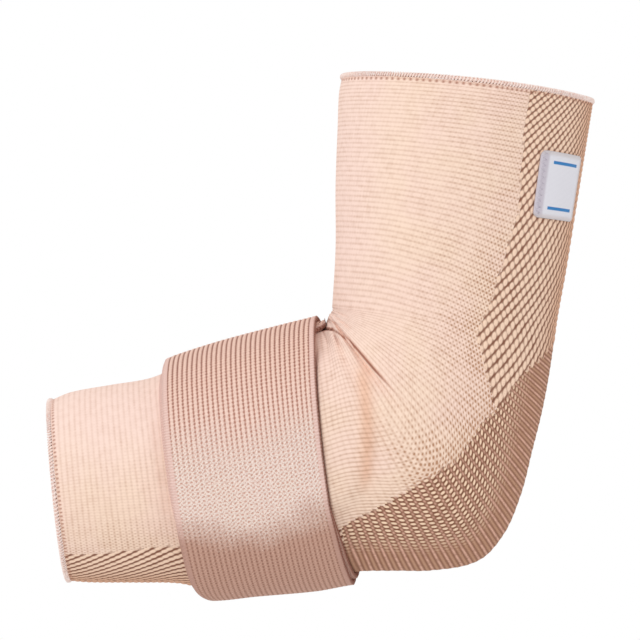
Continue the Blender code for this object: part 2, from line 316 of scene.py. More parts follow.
def turn_at(place, from_outer):
    """Turns of points that lie at distances round the cloth from the outer line, row by row."""
    turns = np.linspace(0, 180, GIRTH_STEPS)
    points = tube_point(np.asarray(place)[:, None], turns[None, :])
    steps = np.linalg.norm(np.diff(points, axis=1), axis=2)
    along = np.concatenate([np.zeros((len(steps), 1)), np.cumsum(steps, axis=1)], axis=1)
    found = np.empty(from_outer.shape)
    for row in range(len(found)):
        back = along[row, -1] - along[row]
        found[row] = np.interp(np.abs(from_outer[row]), back[::-1], turns[::-1])
    return np.where(from_outer > 0, 360 - found, found)


measured_places = [-FOREARM_LENGTH, -STRAP_STATION, ELBOW_ARC / 2, ARM_END]
measured = np.round(half_girth(measured_places) * 1000, 1)
print("half girth at wrist, strap, elbow and arm, mm", measured)

# %% [markdown]
# ## Counting stitches
# Knit is a lattice. Wales are the columns of stitches that run along the tube, and courses are
# the rows that run round it. A count of wales and a count of courses at every point of the cloth
# is all that the patterns need. Round the elbow the courses fan out like spokes, and the farther
# out, the more they are drawn away from the middle of the bend. Towards the arm end they lie
# closer together.

# %% Wales and courses
WALES = 168
WALE_PITCH = 0.00147
EVEN_WALES = 42
FULL_HALF_GIRTH = 0.132
COURSES_PER_RADIAN = 20.8
COURSE_CENTRE = math.radians(30.0)
FOREARM_COURSE = 0.00215
ARM_COURSE = 0.00225
ARM_COURSE_LOSS = 0.00090
ARM_COURSE_POWER = 1.3
DRAWN_AWAY = 5.0
DRAWN_REACH = 0.045
FOREARM_FADE = 0.012
ARM_FADE = 0.040


def wale_pitch(place):
    """Distance between wales on the outer side. The wrist is narrower, so they lie closer there."""
    return WALE_PITCH * np.minimum(half_girth(place) / FULL_HALF_GIRTH, 1.0)


def wale_count(from_outer, pitch, girth):
    """Wales counted from the outer line: even on the outer side, and shared out up to the crook."""
    even = EVEN_WALES * pitch
    rest = EVEN_WALES + (np.abs(from_outer) - even) / (girth - even) * (WALES / 2 - EVEN_WALES)
    near = np.abs(from_outer) < even
    return np.sign(from_outer) * np.where(near, np.abs(from_outer) / pitch, rest)


print("wales round the tube", WALES, "at", WALE_PITCH * 1000, "mm")

# %% [markdown]
# ## How the courses run
# Above the bend the courses droop towards the outer side. The jersey's own lines don't follow the
# wales exactly either: they lean one way next to the strap and the other way up the arm, because
# the cloth is pulled askew there. Both are read off the way the lines run on such a sleeve.

# %% Courses and leaning lines
DROOP = 89.0
DROOP_PLACE = 0.0130
DROOP_SPREAD = 0.0396
DROOP_START = 0.012
DROOP_RISE = 0.020
LEAN_WALES = 4.0
LEAN_START = -0.014
LEAN_RUN = 0.046
LEAN_BACK = 105.0
LEAN_BACK_START = 0.045


def drooping_courses(reach, turned, up):
    """Extra courses towards the outer side, just above the bend, where they droop from level."""
    begun = np.clip((reach - DROOP_START) / DROOP_RISE, 0, 1)
    rising = DROOP_RISE * (begun**3 - begun**4 / 2)
    side = rising + np.maximum(reach - DROOP_START - DROOP_RISE, 0)
    lift = up - (BEND - turned) * DRAWN_REACH
    return DROOP * side * np.exp(-(((lift - DROOP_PLACE) / DROOP_SPREAD) ** 2))


def course_count(place, reach):
    """Courses counted from where the forearm's straight run meets the bend."""
    turned = np.clip(place / ELBOW_ARC, 0, 1) * BEND
    down = np.minimum(place, 0)
    up = np.maximum(place - ELBOW_ARC, 0)
    spoke = np.exp(DRAWN_AWAY * np.maximum(reach - DRAWN_REACH, 0))
    drawn = COURSE_CENTRE + (turned - COURSE_CENTRE) * spoke
    fade = np.where(down < 0, np.exp(down / FOREARM_FADE), np.exp(-up / ARM_FADE))
    steps = np.linspace(0, UPPER_LENGTH, 200)
    per_metre = 1 / (ARM_COURSE - ARM_COURSE_LOSS * (steps / UPPER_LENGTH) ** ARM_COURSE_POWER)
    gained = (per_metre[1:] + per_metre[:-1]) / 2 * np.diff(steps)
    climbed = np.concatenate([[0], np.cumsum(gained)])
    arm = np.interp(up, steps, climbed) + drooping_courses(reach, turned, up)
    return COURSES_PER_RADIAN * (turned + (drawn - turned) * fade) + down / FOREARM_COURSE + arm


def jersey_lean(place):
    """How many wales the jersey leans aside: one way next to the strap, back on the arm."""
    near_strap = LEAN_WALES * smooth_step((place - LEAN_START) / LEAN_RUN)
    return near_strap - LEAN_BACK * np.maximum(place - LEAN_BACK_START, 0)


print("courses round the bend", round(COURSES_PER_RADIAN * BEND, 1))

# %% [markdown]
# ## Which knit is where
# Three knits share the tube. Plain jersey covers most of it. A strip of twill, made of long
# slanting cells, runs down the outer side, and round the point of the elbow it turns into a
# closer, darker patch with ribs that fan out. A painted mask could mark them, but it would cut
# through stitches. Tables hold how wide the strip and the patch are on each side of the outer
# line, and the border between two knits follows whole stitches, so it is stepped, not smooth.

# %% Zones of the knit
# place along the tube, and half the width of the zone there, both in millimetres
TWILL_ZONE = (
    (-108, 26.6), (-95, 28.9), (-76, 32.5), (-61, 35.7), (-4, 39), (0, 36), (52, 36), (54, 42.8),
    (57, 44.8), (61, 47.8), (70, 51.6), (73, 53.9), (85, 49.8), (94, 49.2), (102, 47.4), (112, 47),
    (120, 45.3), (132, 47.1), (154, 49.4), (166, 49.7),
)
PATCH_ZONE = (
    (-12, -8), (-4, 40), (2, 43.7), (6, 46.7), (11, 51.4), (17, 56.7), (23, 60.8), (29, 59),
    (36, 53.4), (42, 49.3), (48, 44.6), (52, 40.7), (57, 37), (62, 33.7), (66, 29), (70, 21),
    (73, 14), (77, -8),
)


def zone_half(zone, place):
    """Half the width of a zone at a place, in metres."""
    return np.interp(place * 1000, [row[0] for row in zone], [row[1] for row in zone]) / 1000


def zone_depths(place, from_outer, wale, course, pitch):
    """How far inside the twill strip and inside the patch each stitch lies, in metres."""
    side = np.abs(np.floor(wale + 0.5)) * pitch
    stitch_place = place + (np.floor(course + 0.5) - course) * ARM_COURSE
    return zone_half(TWILL_ZONE, stitch_place) - side, zone_half(PATCH_ZONE, stitch_place) - side


twill_wales = int(2 * zone_half(TWILL_ZONE, ARM_END) / WALE_PITCH)
print("twill wales across the strip at the arm end", twill_wales)

# %% [markdown]
# ## Folds
# In the crook the cloth has nowhere to go, so it buckles. One sharp crease starts at the inner
# corner and runs down and out across the front, with a few short ones beside it, and soft valleys
# lie on both sides. All of that is real shape. A cloth simulation would give other folds each
# time a size changes, so they are pressed into the mesh as heights over the smooth tube, the same
# at the back. The lines of the creases are laid out in the side view, in millimetres from the
# origin.

# %% Lines of the folds
# share of the bend, depth and half width as shares, and the share of the section that it crosses
SOFT_FOLDS = (
    (0.367, 0.028, 0.065, 0.46),
    (0.200, 0.010, 0.090, 0.62),
    (0.560, 0.012, 0.060, 0.12),
    (0.760, 0.010, 0.060, 0.09),
)
# depth at the start and the end, then the two ends of each straight length
CREASES = (
    (2.6, 2.2, (-44.6, 39.4), (-38.8, 40.0)),
    (0.9, 1.1, (-38.8, 40.0), (-32.9, 36.3)),
    (1.1, 1.1, (-32.9, 36.3), (-29.8, 32.9)),
    (1.1, 1.2, (-29.8, 32.9), (-23.3, 25.2)),
    (1.2, 0.5, (-23.3, 25.2), (-17.2, 18.3)),
    (0.5, 0.1, (-17.2, 18.3), (-5.0, 6.5)),
    (1.0, 0.3, (-42.0, 44.2), (-38.2, 41.6)),
    (1.0, 0.3, (-41.2, 47.0), (-36.4, 45.2)),
    (0.8, 0.3, (-40.5, 43.8), (-35.1, 40.9)),
    (0.8, 0.2, (-42.0, 39.0), (-40.1, 34.0)),
    (0.8, 0.2, (-38.0, 38.2), (-35.9, 33.2)),
    (0.3, 0.1, (-34.0, 35.0), (-30.0, 26.0)),
    (0.3, 0.1, (-31.0, 32.0), (-25.0, 22.0)),
    (0.3, 0.1, (-27.0, 27.5), (-21.0, 14.0)),
    (0.25, 0.1, (-37.0, 45.0), (-22.0, 38.0)),
)
CREASE_HALF = 0.50
print("soft folds", len(SOFT_FOLDS), "and creases", len(CREASES))

# %% [markdown]
# ## Swelling beside the strap
# The strap squeezes the forearm, so the cloth swells out next to both of its edges, most on the
# elbow's side. Each swelling is a low oval dome over the tube. It starts exactly at the strap's
# edge, which the pull of the band draws in a little at the front. Along its far border, where the
# swelling turns away from the lamps, runs a darker, warmer strip of painted shade.

# %% Swellings
# middle of the swelling and its two radii in the side view, and its height
ELBOW_SWELLING = ((-38.9, 1.1), (17.6, 34.0), 3.0)
CUFF_SWELLING = ((-98.6, -12.2), (19.0, 22.0), 0.7)
CUFF_SWELLING_START = 67.0
SWELLING_CROWN = 0.6
ELBOW_RISE = 0.0016
CUFF_RISE = 4.0
FIRST_TURN_SHIFT = 0.0045
EDGE_OVERLAP = 0.0008
# the painted shade strip's line in the side view, how it curves, its half width, and where it
# fades, in mm
RIM_LINE = -25.6
RIM_CURVE = 0.003
RIM_WIDTH = 2.7
RIM_LOW, RIM_HIGH = -24, 31
RIM_FADE = 12
# turn from the crook on either side, and how far the strap's elbow edge is drawn in there, in mm
ELBOW_EDGE = (
    (0, 0.0),
    (40, 0.5),
    (65, 1.3),
    (88, 1.9),
    (110, 2.2),
    (126, 1.4),
    (155, 0.4),
    (180, 0.0),
)


def drawn_in(turn):
    """How far the strap's elbow edge is drawn in towards its middle, in metres."""
    side = np.abs((turn + 180) % 360 - 180)
    return np.interp(side, [row[0] for row in ELBOW_EDGE], [row[1] for row in ELBOW_EDGE]) / 1000


def strap_edge_place(turn):
    """Where the strap's elbow edge lies. At the back, its first turn shows beside the second."""
    edge = STRAP_WIDTH / 2 - STRAP_STATION - STRAP_BOW * np.sin(np.radians(turn)) - drawn_in(turn)
    return edge + np.where(turn > 180, FIRST_TURN_SHIFT, -EDGE_OVERLAP)


def oval_swelling(points, swelling):
    """Height of one oval swelling, in millimetres."""
    (middle_x, middle_z), (radius_x, radius_z), most = swelling
    x, z = points[..., 0] * 1000, points[..., 2] * 1000
    inside = 1 - ((x - middle_x) / radius_x) ** 2 - ((z - middle_z) / radius_z) ** 2
    return most * smooth_step(inside / SWELLING_CROWN)


def swelling_height(points, place, turn):
    """Height of the cloth that swells out beside the strap, in millimetres."""
    elbow_side = smooth_step((place - strap_edge_place(turn)) / ELBOW_RISE)
    wrist_side = smooth_step((-place * 1000 - CUFF_SWELLING_START) / CUFF_RISE)
    on_elbow = oval_swelling(points, ELBOW_SWELLING) * elbow_side
    return on_elbow + oval_swelling(points, CUFF_SWELLING) * wrist_side


def rim_shade(points):
    """The strip of painted shade along the far border of the swelling, from 0 to 1."""
    x, z = points[..., 0] * 1000, points[..., 2] * 1000
    beside = (x - RIM_LINE + RIM_CURVE * z**2) / RIM_WIDTH
    faded = smooth_step((z - RIM_LOW) / RIM_FADE) * smooth_step((RIM_HIGH - z) / RIM_FADE)
    return np.exp(-(beside**2)) * faded


print("most swelling at the elbow and on the cuff, mm", ELBOW_SWELLING[2], CUFF_SWELLING[2])

# %% [markdown]
# ## Folds and swellings together
# A crease is a narrow groove along straight lengths. Its depth falls off to both sides as a bell
# does. On the silhouette in the crook, folds are kept shallow: there the cloth is pulled tight
# round the corner, and a deep groove would cut a notch into the outline.

# %% Heights of the folds
TIGHT_FOLDS = 0.15
TIGHT_FOLD_EDGE = 0.10
TIGHT_CREASE = 0.06
TIGHT_CREASE_EDGE = 0.14


def crease_depth(points):
    """Depth of the creases under points of the smooth tube, in millimetres."""
    x, z = points[..., 0] * 1000, points[..., 2] * 1000
    depth = np.zeros_like(x)
    for first, last, (x0, z0), (x1, z1) in CREASES:
        run_x, run_z = x1 - x0, z1 - z0
        share = np.clip(((x - x0) * run_x + (z - z0) * run_z) / (run_x**2 + run_z**2), 0, 1)
        away = np.hypot(x - x0 - share * run_x, z - z0 - share * run_z)
        here = (first + (last - first) * share) * np.exp(-((away / CREASE_HALF) ** 2))
        depth = np.maximum(depth, here)
    return depth


def kept_near_crook(across, least, edge):
    """How much of a depth is kept: the least on the crook line, all of it past an edge."""
    return least + (1 - least) * smooth_step(across / edge)


def fold_height(points, place, turn, reach):
    """Height of the folded cloth over the smooth tube, in metres, the depth of its creases in
    millimetres, the strip of painted shade, and the share of the section from the crook to the
    outer line."""
    half = smooth_through(place, SECTION_PLACES, SECTION_HALF)
    centre = smooth_through(place, SECTION_PLACES, SECTION_CENTRE)
    across = (reach - centre + half) / (2 * half)
    height = np.zeros_like(reach)
    for share, depth, spread, run_out in SOFT_FOLDS:
        beside = np.clip(1 - np.abs(place / ELBOW_ARC - share) / spread, 0, None) ** 1.5
        valley = depth * ELBOW_WIDTH * beside * np.clip(1 - (across / run_out) ** 2, 0, None)
        height -= valley * kept_near_crook(across, TIGHT_FOLDS, TIGHT_FOLD_EDGE)
    crease = crease_depth(points)
    pressed = crease * kept_near_crook(across, TIGHT_CREASE, TIGHT_CREASE_EDGE)
    swelling = swelling_height(points, place, turn)
    return height + (swelling - pressed) / 1000, crease, rim_shade(points), across


deepest = crease_depth(np.array([[-0.0388, 0.0, 0.0400]]))[0]
print("deepest crease on the front", round(float(deepest), 1), "mm")

# %% [markdown]
# ## From rings of points to a closed cloth
# Every cloth piece here is a set of rings of points joined by four-sided faces. One helper does
# that for all of them. It also writes the texture coordinates, one value for each corner of a
# face, so that a count of stitches can run right round the tube and start again at the seam.

# %% Mesh helper


def cloth_from_rings(name, rings, maps, closed_path):
    """A solid through rings of points (ring, point, 3). Each map holds two numbers for every point,
    with one more column than the rings, for where the ring meets itself."""
    count, around = rings.shape[:2]
    ring = np.arange(count if closed_path else count - 1)[:, None]
    point = np.arange(around)[None, :]
    corner_rings = [ring, ring, ring + 1, ring + 1]
    corner_points = [point, point + 1, point + 1, point]
    corner_rings = np.stack(np.broadcast_arrays(*[r + 0 * point for r in corner_rings]), -1)
    corner_points = np.stack(np.broadcast_arrays(*[p + 0 * ring for p in corner_points]), -1)
    faces = (corner_rings % count) * around + corner_points % around
    places = rings.reshape(-1, 3)
    a, b, c, d = (places[faces[..., k]] for k in range(4))
    volume = (a * np.cross(b, c)).sum() + (a * np.cross(c, d)).sum()
    if volume < 0:
        corners = (faces, corner_rings, corner_points)
        faces, corner_rings, corner_points = (x[..., ::-1] for x in corners)
    polygons = faces.reshape(-1, 4).tolist()
    if not closed_path:
        caps = [list(range(around)), list(range((count - 1) * around, count * around))]
        if volume < 0:
            caps[1].reverse()
        else:
            caps[0].reverse()
        polygons += caps
    mesh = bpy.data.meshes.new(name)
    mesh.from_pydata(places.tolist(), [], polygons)
    for map_name, values in maps.items():
        corners = values[corner_rings % count, corner_points].reshape(-1, 2)
        if not closed_path:
            corners = np.concatenate([corners, values[0, :-1], values[-1, :-1]])
        layer = mesh.uv_layers.new(name=map_name)
        layer.data.foreach_set("uv", corners.astype(np.float32).ravel())
    mesh.shade_smooth()
    piece = bpy.data.objects.new(name, mesh)
    scene.collection.objects.link(piece)
    print(name, "triangles", sum(len(p) - 2 for p in polygons))
    return piece


def with_seam(values):
    """Repeats the first column of a map at its end."""
    return np.concatenate([values, values[:, :1]], axis=1)


print("columns of a map of 3, with its seam", with_seam(np.zeros((2, 3, 2))).shape[1])

# %% [markdown]
# ## Relief of the knit
# The twill cells and the ribs of the patch stand up by about half a millimetre, which shows in
# the light and on the outline. A displacement texture would need a picture of them. Here they are
# waves over the counts of wales and courses, so they fit the colours that are laid over them
# later. Finer stitches are left to the material.

# %% Relief of the knit
TWILL_RELIEF = 0.00045
PATCH_RELIEF = 0.00050
PATCH_WALE = 0.81
BROKEN_FOREARM = 0.45
BROKEN_BODY = 0.68
RIBS_JOINED = 0.024
RIBS_PARTED = 0.038
TWILL_LEVEL, TWILL_BORDER = 0.45, 0.0008
PATCH_LEVEL, PATCH_BORDER = 0.5, 0.0010


def wave(count):
    """1 at whole numbers and 0 half way between."""
    return 0.5 + 0.5 * np.cos(2 * np.pi * count)


def twill_grains(wale, course, place):
    """The light raised grains of the twill, in slanting rows with sunken lines between them."""
    rising, falling = (course - wale) / 2, (course + wale) / 2
    on_forearm = place < 0
    row, cell = np.where(on_forearm, falling, rising), np.where(on_forearm, rising, falling)
    broken = np.where(on_forearm, BROKEN_FOREARM, BROKEN_BODY)
    return wave(row + 0.5) ** 0.7 * (1 - broken + broken * wave(cell + 0.5))


def patch_ridges(wale, course, from_outer):
    """The raised rows of the patch: small ovals, joined into ribs near the outer line."""
    ovals = 0.2 + 0.8 * wave(PATCH_WALE * wale)
    joined = 1 - smooth_step((np.abs(from_outer) - RIBS_JOINED) / (RIBS_PARTED - RIBS_JOINED))
    band = (1 - wave(course)) ** 0.9
    return band * (ovals * (1 - joined) + 0.6 * joined) + 0.35 * wave(course) ** 5


def knit_relief(wale, course, from_outer, place, twill, patch):
    """Height of twill cells and patch ribs over the plain cloth, in metres."""
    in_patch = smooth_step(patch / PATCH_BORDER + 0.5)
    in_twill = smooth_step(twill / TWILL_BORDER + 0.5) * (1 - in_patch)
    cells = twill_grains(wale, course, place) - TWILL_LEVEL
    ridges = patch_ridges(wale, course, from_outer) - PATCH_LEVEL
    return TWILL_RELIEF * cells * in_twill + PATCH_RELIEF * ridges * in_patch


print("relief of twill and patch, mm", TWILL_RELIEF * 1000, PATCH_RELIEF * 1000)

# %% [markdown]
# ## A length of the sleeve
# A length of the tube is an outer face with the folds and the relief, and a smooth inner face one
# wall further in. Columns of points lie close together on the outer side, three to a wale on the
# front, and wider apart in the plain jersey, where nothing small is raised. Each point also
# carries what the material needs to know of it: stitch counts, zones, place, folds.

# %% Sleeve mesh
DENSE_WALES = 42
FRONT_POINTS = 3
BACK_POINTS = 2
PLAIN_HEM = 0.001


def point_columns(pitch, girth, plain_counts):
    """Distances from the outer line of the columns of points: the front's are negative."""
    sides = []
    for per_wale, plain_count in zip((FRONT_POINTS, BACK_POINTS), plain_counts):
        dense = np.arange(0, DENSE_WALES * per_wale + 1)[None, :] / per_wale * pitch
        plain = np.linspace(0, 1, plain_count + 1)[None, 1:]
        wider = dense[:, -1:] + (girth - dense[:, -1:]) * plain
        sides.append(np.concatenate([dense, wider], axis=1))
    front, back = sides
    return np.concatenate([-front[:, ::-1], back[:, 1:]], axis=1)


def sleeve_piece(name, places, inner_places, plain_counts):
    """One length of the tube, outer face and inner face, as a closed cloth."""
    rings, maps = [], {"stitch": [], "zone": [], "where": [], "fold": [], "jersey": []}
    faces = ((True, places, 0.0), (False, inner_places[::-1], -KNIT_WALL))
    for outside, row_places, height in faces:
        girth = half_girth(row_places)[:, None]
        pitch = wale_pitch(row_places)[:, None]
        from_outer = point_columns(pitch, girth, plain_counts)
        place = row_places[:, None] + 0 * from_outer
        turn = turn_at(row_places, from_outer)
        reach = reach_of(place, turn)
        wale = wale_count(from_outer, pitch, girth)
        course = course_count(place, reach)
        twill, patch = zone_depths(place, from_outer, wale, course, pitch)
        folds, crease, rim_shade_share, across = fold_height(tube_point(place, turn), place, turn, reach)
        relief = knit_relief(wale, course, from_outer, place, twill, patch) if outside else 0.0
        near_end = np.minimum(np.abs(place - ARM_END), np.abs(place + FOREARM_LENGTH))
        relief = relief * smooth_step(near_end / PLAIN_HEM)
        points = tube_point(place, turn, height + folds + relief)
        rings.append(points[:, :-1])
        maps["stitch"].append(np.stack([wale, course], -1))
        maps["zone"].append(np.stack([twill * 1000, patch * 1000], -1))
        maps["where"].append(np.stack([across, place * 10], -1))
        maps["fold"].append(np.stack([crease, rim_shade_share], -1))
        leaning = wale - np.sign(wale) * jersey_lean(place)
        maps["jersey"].append(np.stack([leaning, place * 1000], -1))
    maps = {key: np.concatenate(parts) for key, parts in maps.items()}
    return cloth_from_rings(name, np.concatenate(rings), maps, True)


print("columns on the outer side", DENSE_WALES * (FRONT_POINTS + BACK_POINTS) + 1)

# %% [markdown]
# ## Body and cuff of the sleeve
# The real sleeve is one tube. Here it is made in two pieces that meet under the strap, where
# nobody sees the join: the body from there to the arm end, and the cuff from there to the wrist.
# Each then stays small enough to handle. Rows lie close together where they show, and far apart
# under the strap and on the inside.

# %% Body and cuff of the sleeve
JOIN_PLACE = -0.032
BODY_SHOWS = -0.010
BODY_ROW = 0.00049
CUFF_SHOWS = -0.056

body_places = np.concatenate([
    np.linspace(JOIN_PLACE, BODY_SHOWS, 8)[:-1],
    np.arange(BODY_SHOWS, ELBOW_ARC + 0.0015, BODY_ROW),
    np.linspace(ELBOW_ARC + 0.002, ARM_END, 122),
])
body_inner = np.concatenate([
    np.linspace(JOIN_PLACE, 0, 4)[:-1],
    np.linspace(0, ELBOW_ARC, 13),
    np.linspace(ELBOW_ARC, ARM_END, 6)[1:],
])
sleeve_body = sleeve_piece("sleeve_body", body_places, body_inner, (50, 28))

cuff_places = np.concatenate([
    np.linspace(-FOREARM_LENGTH, CUFF_SHOWS, 130),
    np.linspace(CUFF_SHOWS, JOIN_PLACE, 10)[1:],
])
cuff_inner = np.linspace(-FOREARM_LENGTH, JOIN_PLACE, 14)
sleeve_cuff = sleeve_piece("sleeve_cuff", cuff_places, cuff_inner, (50, 50))

# %% [markdown]
# ## Path of the strap
# The strap is one band of elastic webbing, 60 mm wide, wound twice round the forearm and a little
# further, over its own start. A flat strip bent round a curve in Blender would slide off so
# uneven a tube. So each point of the band has a turn, which goes on past 360 as it winds on, and
# a distance across, and is laid on the tube with the height of the turns below it.

# %% Path of the strap
STRAP_THICKNESS = 0.0020
STRAP_EDGE = 0.0006
STRAP_START = -110.0
STRAP_TURN_DOWN = 35.0
STRAP_OVERLAP = 40.0
STRAP_END = STRAP_START + 720.0 + STRAP_OVERLAP
TAB_LENGTH = 0.0300
TAB_WIDTH = 0.0560
TAB_THICKNESS = 0.0012
TAB_SHOW = 0.0040
KNIT_GAP = 0.0005
LAYER_GAP = 0.0004
SEWN_GAP = 0.0003
# turn, and how far the band's first turn lies there towards the elbow, as a share of its width
SWINGS = (
    (STRAP_START, 0.075),
    (-44, 0.075),
    (-28, 0.118),
    (9, 0.118),
    (20, -0.020),
    (90, -0.012),
    (140, 0.020),
    (190, 0.026),
    (360, 0.0),
)


def strap_swing(turn):
    """Shift of the first turn towards the elbow: it isn't quite under the second."""
    turns = np.array([row[0] for row in SWINGS])
    shifts = np.array([row[1] for row in SWINGS])
    i = np.clip(np.searchsorted(turns, turn, side="right") - 1, 0, len(turns) - 2)
    t = smooth_step((turn - turns[i]) / (turns[i + 1] - turns[i]))
    return STRAP_WIDTH * (shifts[i] + (shifts[i + 1] - shifts[i]) * t) * (turn < turns[-1])


def strap_station(turn):
    """Distance of the band's middle from the crook, down the forearm."""
    return STRAP_STATION + STRAP_BOW * np.sin(np.radians(turn)) - strap_swing(turn)


def strap_height(turn):
    """Height of the band's inner face over the knit: it climbs on to itself after each turn."""
    layer = STRAP_THICKNESS + LAYER_GAP
    tab_lift = TAB_THICKNESS + 2 * SEWN_GAP - LAYER_GAP
    height = KNIT_GAP
    for lap in (1, 2):
        climbed = smooth_step((turn - STRAP_START - lap * 360 + STRAP_TURN_DOWN) / STRAP_TURN_DOWN)
        height = height + climbed * (layer + (tab_lift if lap == 2 else 0.0))
    return height


def band_point(turn, across, height):
    """Points of the band: across is measured from its middle, towards the wrist."""
    return tube_point(-strap_station(turn) - across, turn % 360, height)


print("the band winds", STRAP_END - STRAP_START, "degrees")

# %% [markdown]
# ## Section of the webbing
# Cut across, the webbing is a flat bar. Twenty-nine ribs run along its outer face between two
# smooth selvedges, and its inner face lies on the knit, so that one stays plain. Each rib gets
# four points, the fewest that still look round.

# %% Section of the webbing
STRAP_RIBS = 29
RIB_RELIEF = 0.00030
SELVEDGE = 0.0026
POINTS_PER_RIB = 4

half_strap = STRAP_WIDTH / 2
rib_width = (STRAP_WIDTH - 2 * SELVEDGE) / STRAP_RIBS
ribbed_half = half_strap - SELVEDGE
rib_across = np.linspace(-ribbed_half, ribbed_half, STRAP_RIBS * POINTS_PER_RIB + 1)
edge_across = np.linspace(STRAP_EDGE - half_strap, SELVEDGE - half_strap, 5)[:-1]
top_across = np.concatenate([edge_across, rib_across, -edge_across[::-1]])
under_across = np.linspace(half_strap - STRAP_EDGE, STRAP_EDGE - half_strap, 25)
rib_phase = (top_across + half_strap - SELVEDGE) / rib_width
rib_shape = np.abs(np.sin(np.pi * np.clip(rib_phase, 0, STRAP_RIBS))) ** 0.8
in_ribs = (rib_phase > -0.01) & (rib_phase < STRAP_RIBS + 0.01)
top_height = np.where(in_ribs, RIB_RELIEF * (rib_shape - 1), -0.25 * RIB_RELIEF)

ring_across = np.concatenate([top_across, [half_strap], under_across, [-half_strap]])
half_thickness = [STRAP_THICKNESS / 2]
ring_height = np.concatenate([
    STRAP_THICKNESS + top_height, half_thickness, 0 * under_across, half_thickness,
])
print("rib pitch", round(rib_width * 1000, 2), "mm, points round the section", len(ring_across))

# %% [markdown]
# ## Winding the strap
# The section is carried along the path, ring after ring. Two things keep it from looking like a
# rigid hoop: its elbow edge is drawn in at the front, and its wrist edge is pinched where the
# band turns under the forearm. The ribs are strongest at the crook, where the webbing is
# stretched, and lie flatter round the front and underneath.

# %% Strap mesh
STRAP_RINGS = 440
PINCH = 0.0060
PINCH_SPREAD = 17
strap_turns = np.linspace(STRAP_START, STRAP_END, STRAP_RINGS)[:, None]


def wrist_edge_pinch(turn, across):
    """The wrist edge is drawn in where the band turns under the forearm."""
    under = np.exp(-(((turn % 360 - 180) / PINCH_SPREAD) ** 2))
    towards_wrist = np.clip(across / half_strap, 0, 1) ** 6
    return -PINCH * under * towards_wrist


side_turn = np.abs((strap_turns + 180) % 360 - 180)
elbow_edge_shift = drawn_in(strap_turns) * np.clip(-ring_across / half_strap, 0, 1) ** 2
drawn_across = ring_across + elbow_edge_shift + wrist_edge_pinch(strap_turns, ring_across)
flatter = 0.60 * smooth_step((side_turn - 66) / 20) + 0.20 * smooth_step((side_turn - 116) / 12)
rib_part = np.where(ring_height > STRAP_THICKNESS / 2, ring_height - STRAP_THICKNESS, 0.0)
strap_relief = ring_height - rib_part * flatter
strap_rings = band_point(strap_turns, drawn_across, strap_height(strap_turns) + strap_relief)
middle_line = band_point(strap_turns[:, 0], 0.0, strap_height(strap_turns[:, 0]))
run = np.concatenate([[0], np.cumsum(np.linalg.norm(np.diff(middle_line, axis=0), axis=1))])
band_map = np.stack(np.broadcast_arrays(ring_across * 1000, run[:, None] * 1000), -1)
side_map = np.stack([side_turn / 180 + 0 * ring_across] * 2, -1)
strap_maps = {"band": with_seam(band_map), "side": with_seam(side_map)}
strap = cloth_from_rings("elastic_strap", strap_rings, strap_maps, False)

# %% [markdown]
# ## Threads
# Sewing thread is a thin round tube that follows a line. A curve object with a bevel would give
# it too, but there are hundreds of short threads here, and one mesh for all of them is lighter.
# So rings of points are set round each line, and their faces are joined into one piece.

# %% Thread helper


def tube_faces(rings, around, closed):
    """Faces of a thread through rings of points, as numbers of its own points."""
    faces = []
    for r in range(rings if closed else rings - 1):
        for k in range(around):
            beside = (k + 1) % around
            here, after = r * around, (r + 1) % rings * around
            faces.append((here + k, here + beside, after + beside, after + k))
    if not closed:
        faces += [tuple(range(around))[::-1], tuple(range((rings - 1) * around, rings * around))]
    return faces


def thread_along(middle, out, radius, around, closed):
    """Points of a thread round a line. out is which way is up, and radius may change along it."""
    if closed:
        forward = np.roll(middle, -1, axis=0) - np.roll(middle, 1, axis=0)
    else:
        forward = np.gradient(middle, axis=0)
    forward = forward / np.linalg.norm(forward, axis=1, keepdims=True)
    side = np.cross(forward, out)
    side = side / np.linalg.norm(side, axis=1, keepdims=True)
    up = np.cross(side, forward)
    spin = np.linspace(0, 2 * np.pi, around + 1)[:-1][None, :, None]
    radius = np.broadcast_to(radius, len(middle))[:, None, None]
    ring = np.cos(spin) * up[:, None, :] + np.sin(spin) * side[:, None, :]
    return (middle[:, None, :] + radius * ring).reshape(-1, 3)


def threads_piece(name, threads, closed, around):
    """One piece out of many threads, each of them the points that thread_along gives."""
    places, faces, base = [], [], 0
    for points in threads:
        places.append(points)
        own_faces = tube_faces(len(points) // around, around, closed)
        faces += [tuple(v + base for v in face) for face in own_faces]
        base += len(points)
    mesh = bpy.data.meshes.new(name)
    mesh.from_pydata(np.concatenate(places).tolist(), [], faces)
    mesh.shade_smooth()
    piece = bpy.data.objects.new(name, mesh)
    scene.collection.objects.link(piece)
    print(name, "threads", len(threads), "triangles", sum(len(f) - 2 for f in faces))
    return piece


print("faces of a closed thread of 18 rings", len(tube_faces(18, 5, True)))

# %% [markdown]
# ## Hems
# Both ends of the tube are overlocked: a thread is wound over the raw edge, loop beside loop. A
# single bead with a bump would look like cord. Each hem is a thin soft core with every loop laid
# over it as thread, a little way apart, so that its edge is knobbly as on the real one.

# %% Hem mesh
HEM_HEIGHT = 0.0012
HEM_WIDTH = 0.0024
THREAD = 0.00034
THREAD_SIDES = 5
HEM_COVER = 0.0001
UPPER_LOOP = 0.0011
WRIST_LOOP = 0.0012


def hem_point(end_place, outward, turn, angle, cover, grow):
    """Points round a hem's flat oval section, which reaches over the knit as far as cover says."""
    length = HEM_HEIGHT + SEWN_GAP + cover
    middle = (HEM_HEIGHT + SEWN_GAP - cover) / 2
    along = middle + signed_power(np.cos(angle), 0.7) * (length / 2 + grow)
    up = signed_power(np.sin(angle), 0.7) * (HEM_WIDTH / 2 + grow)
    return tube_point(end_place + outward * along, turn, up - KNIT_WALL / 2)


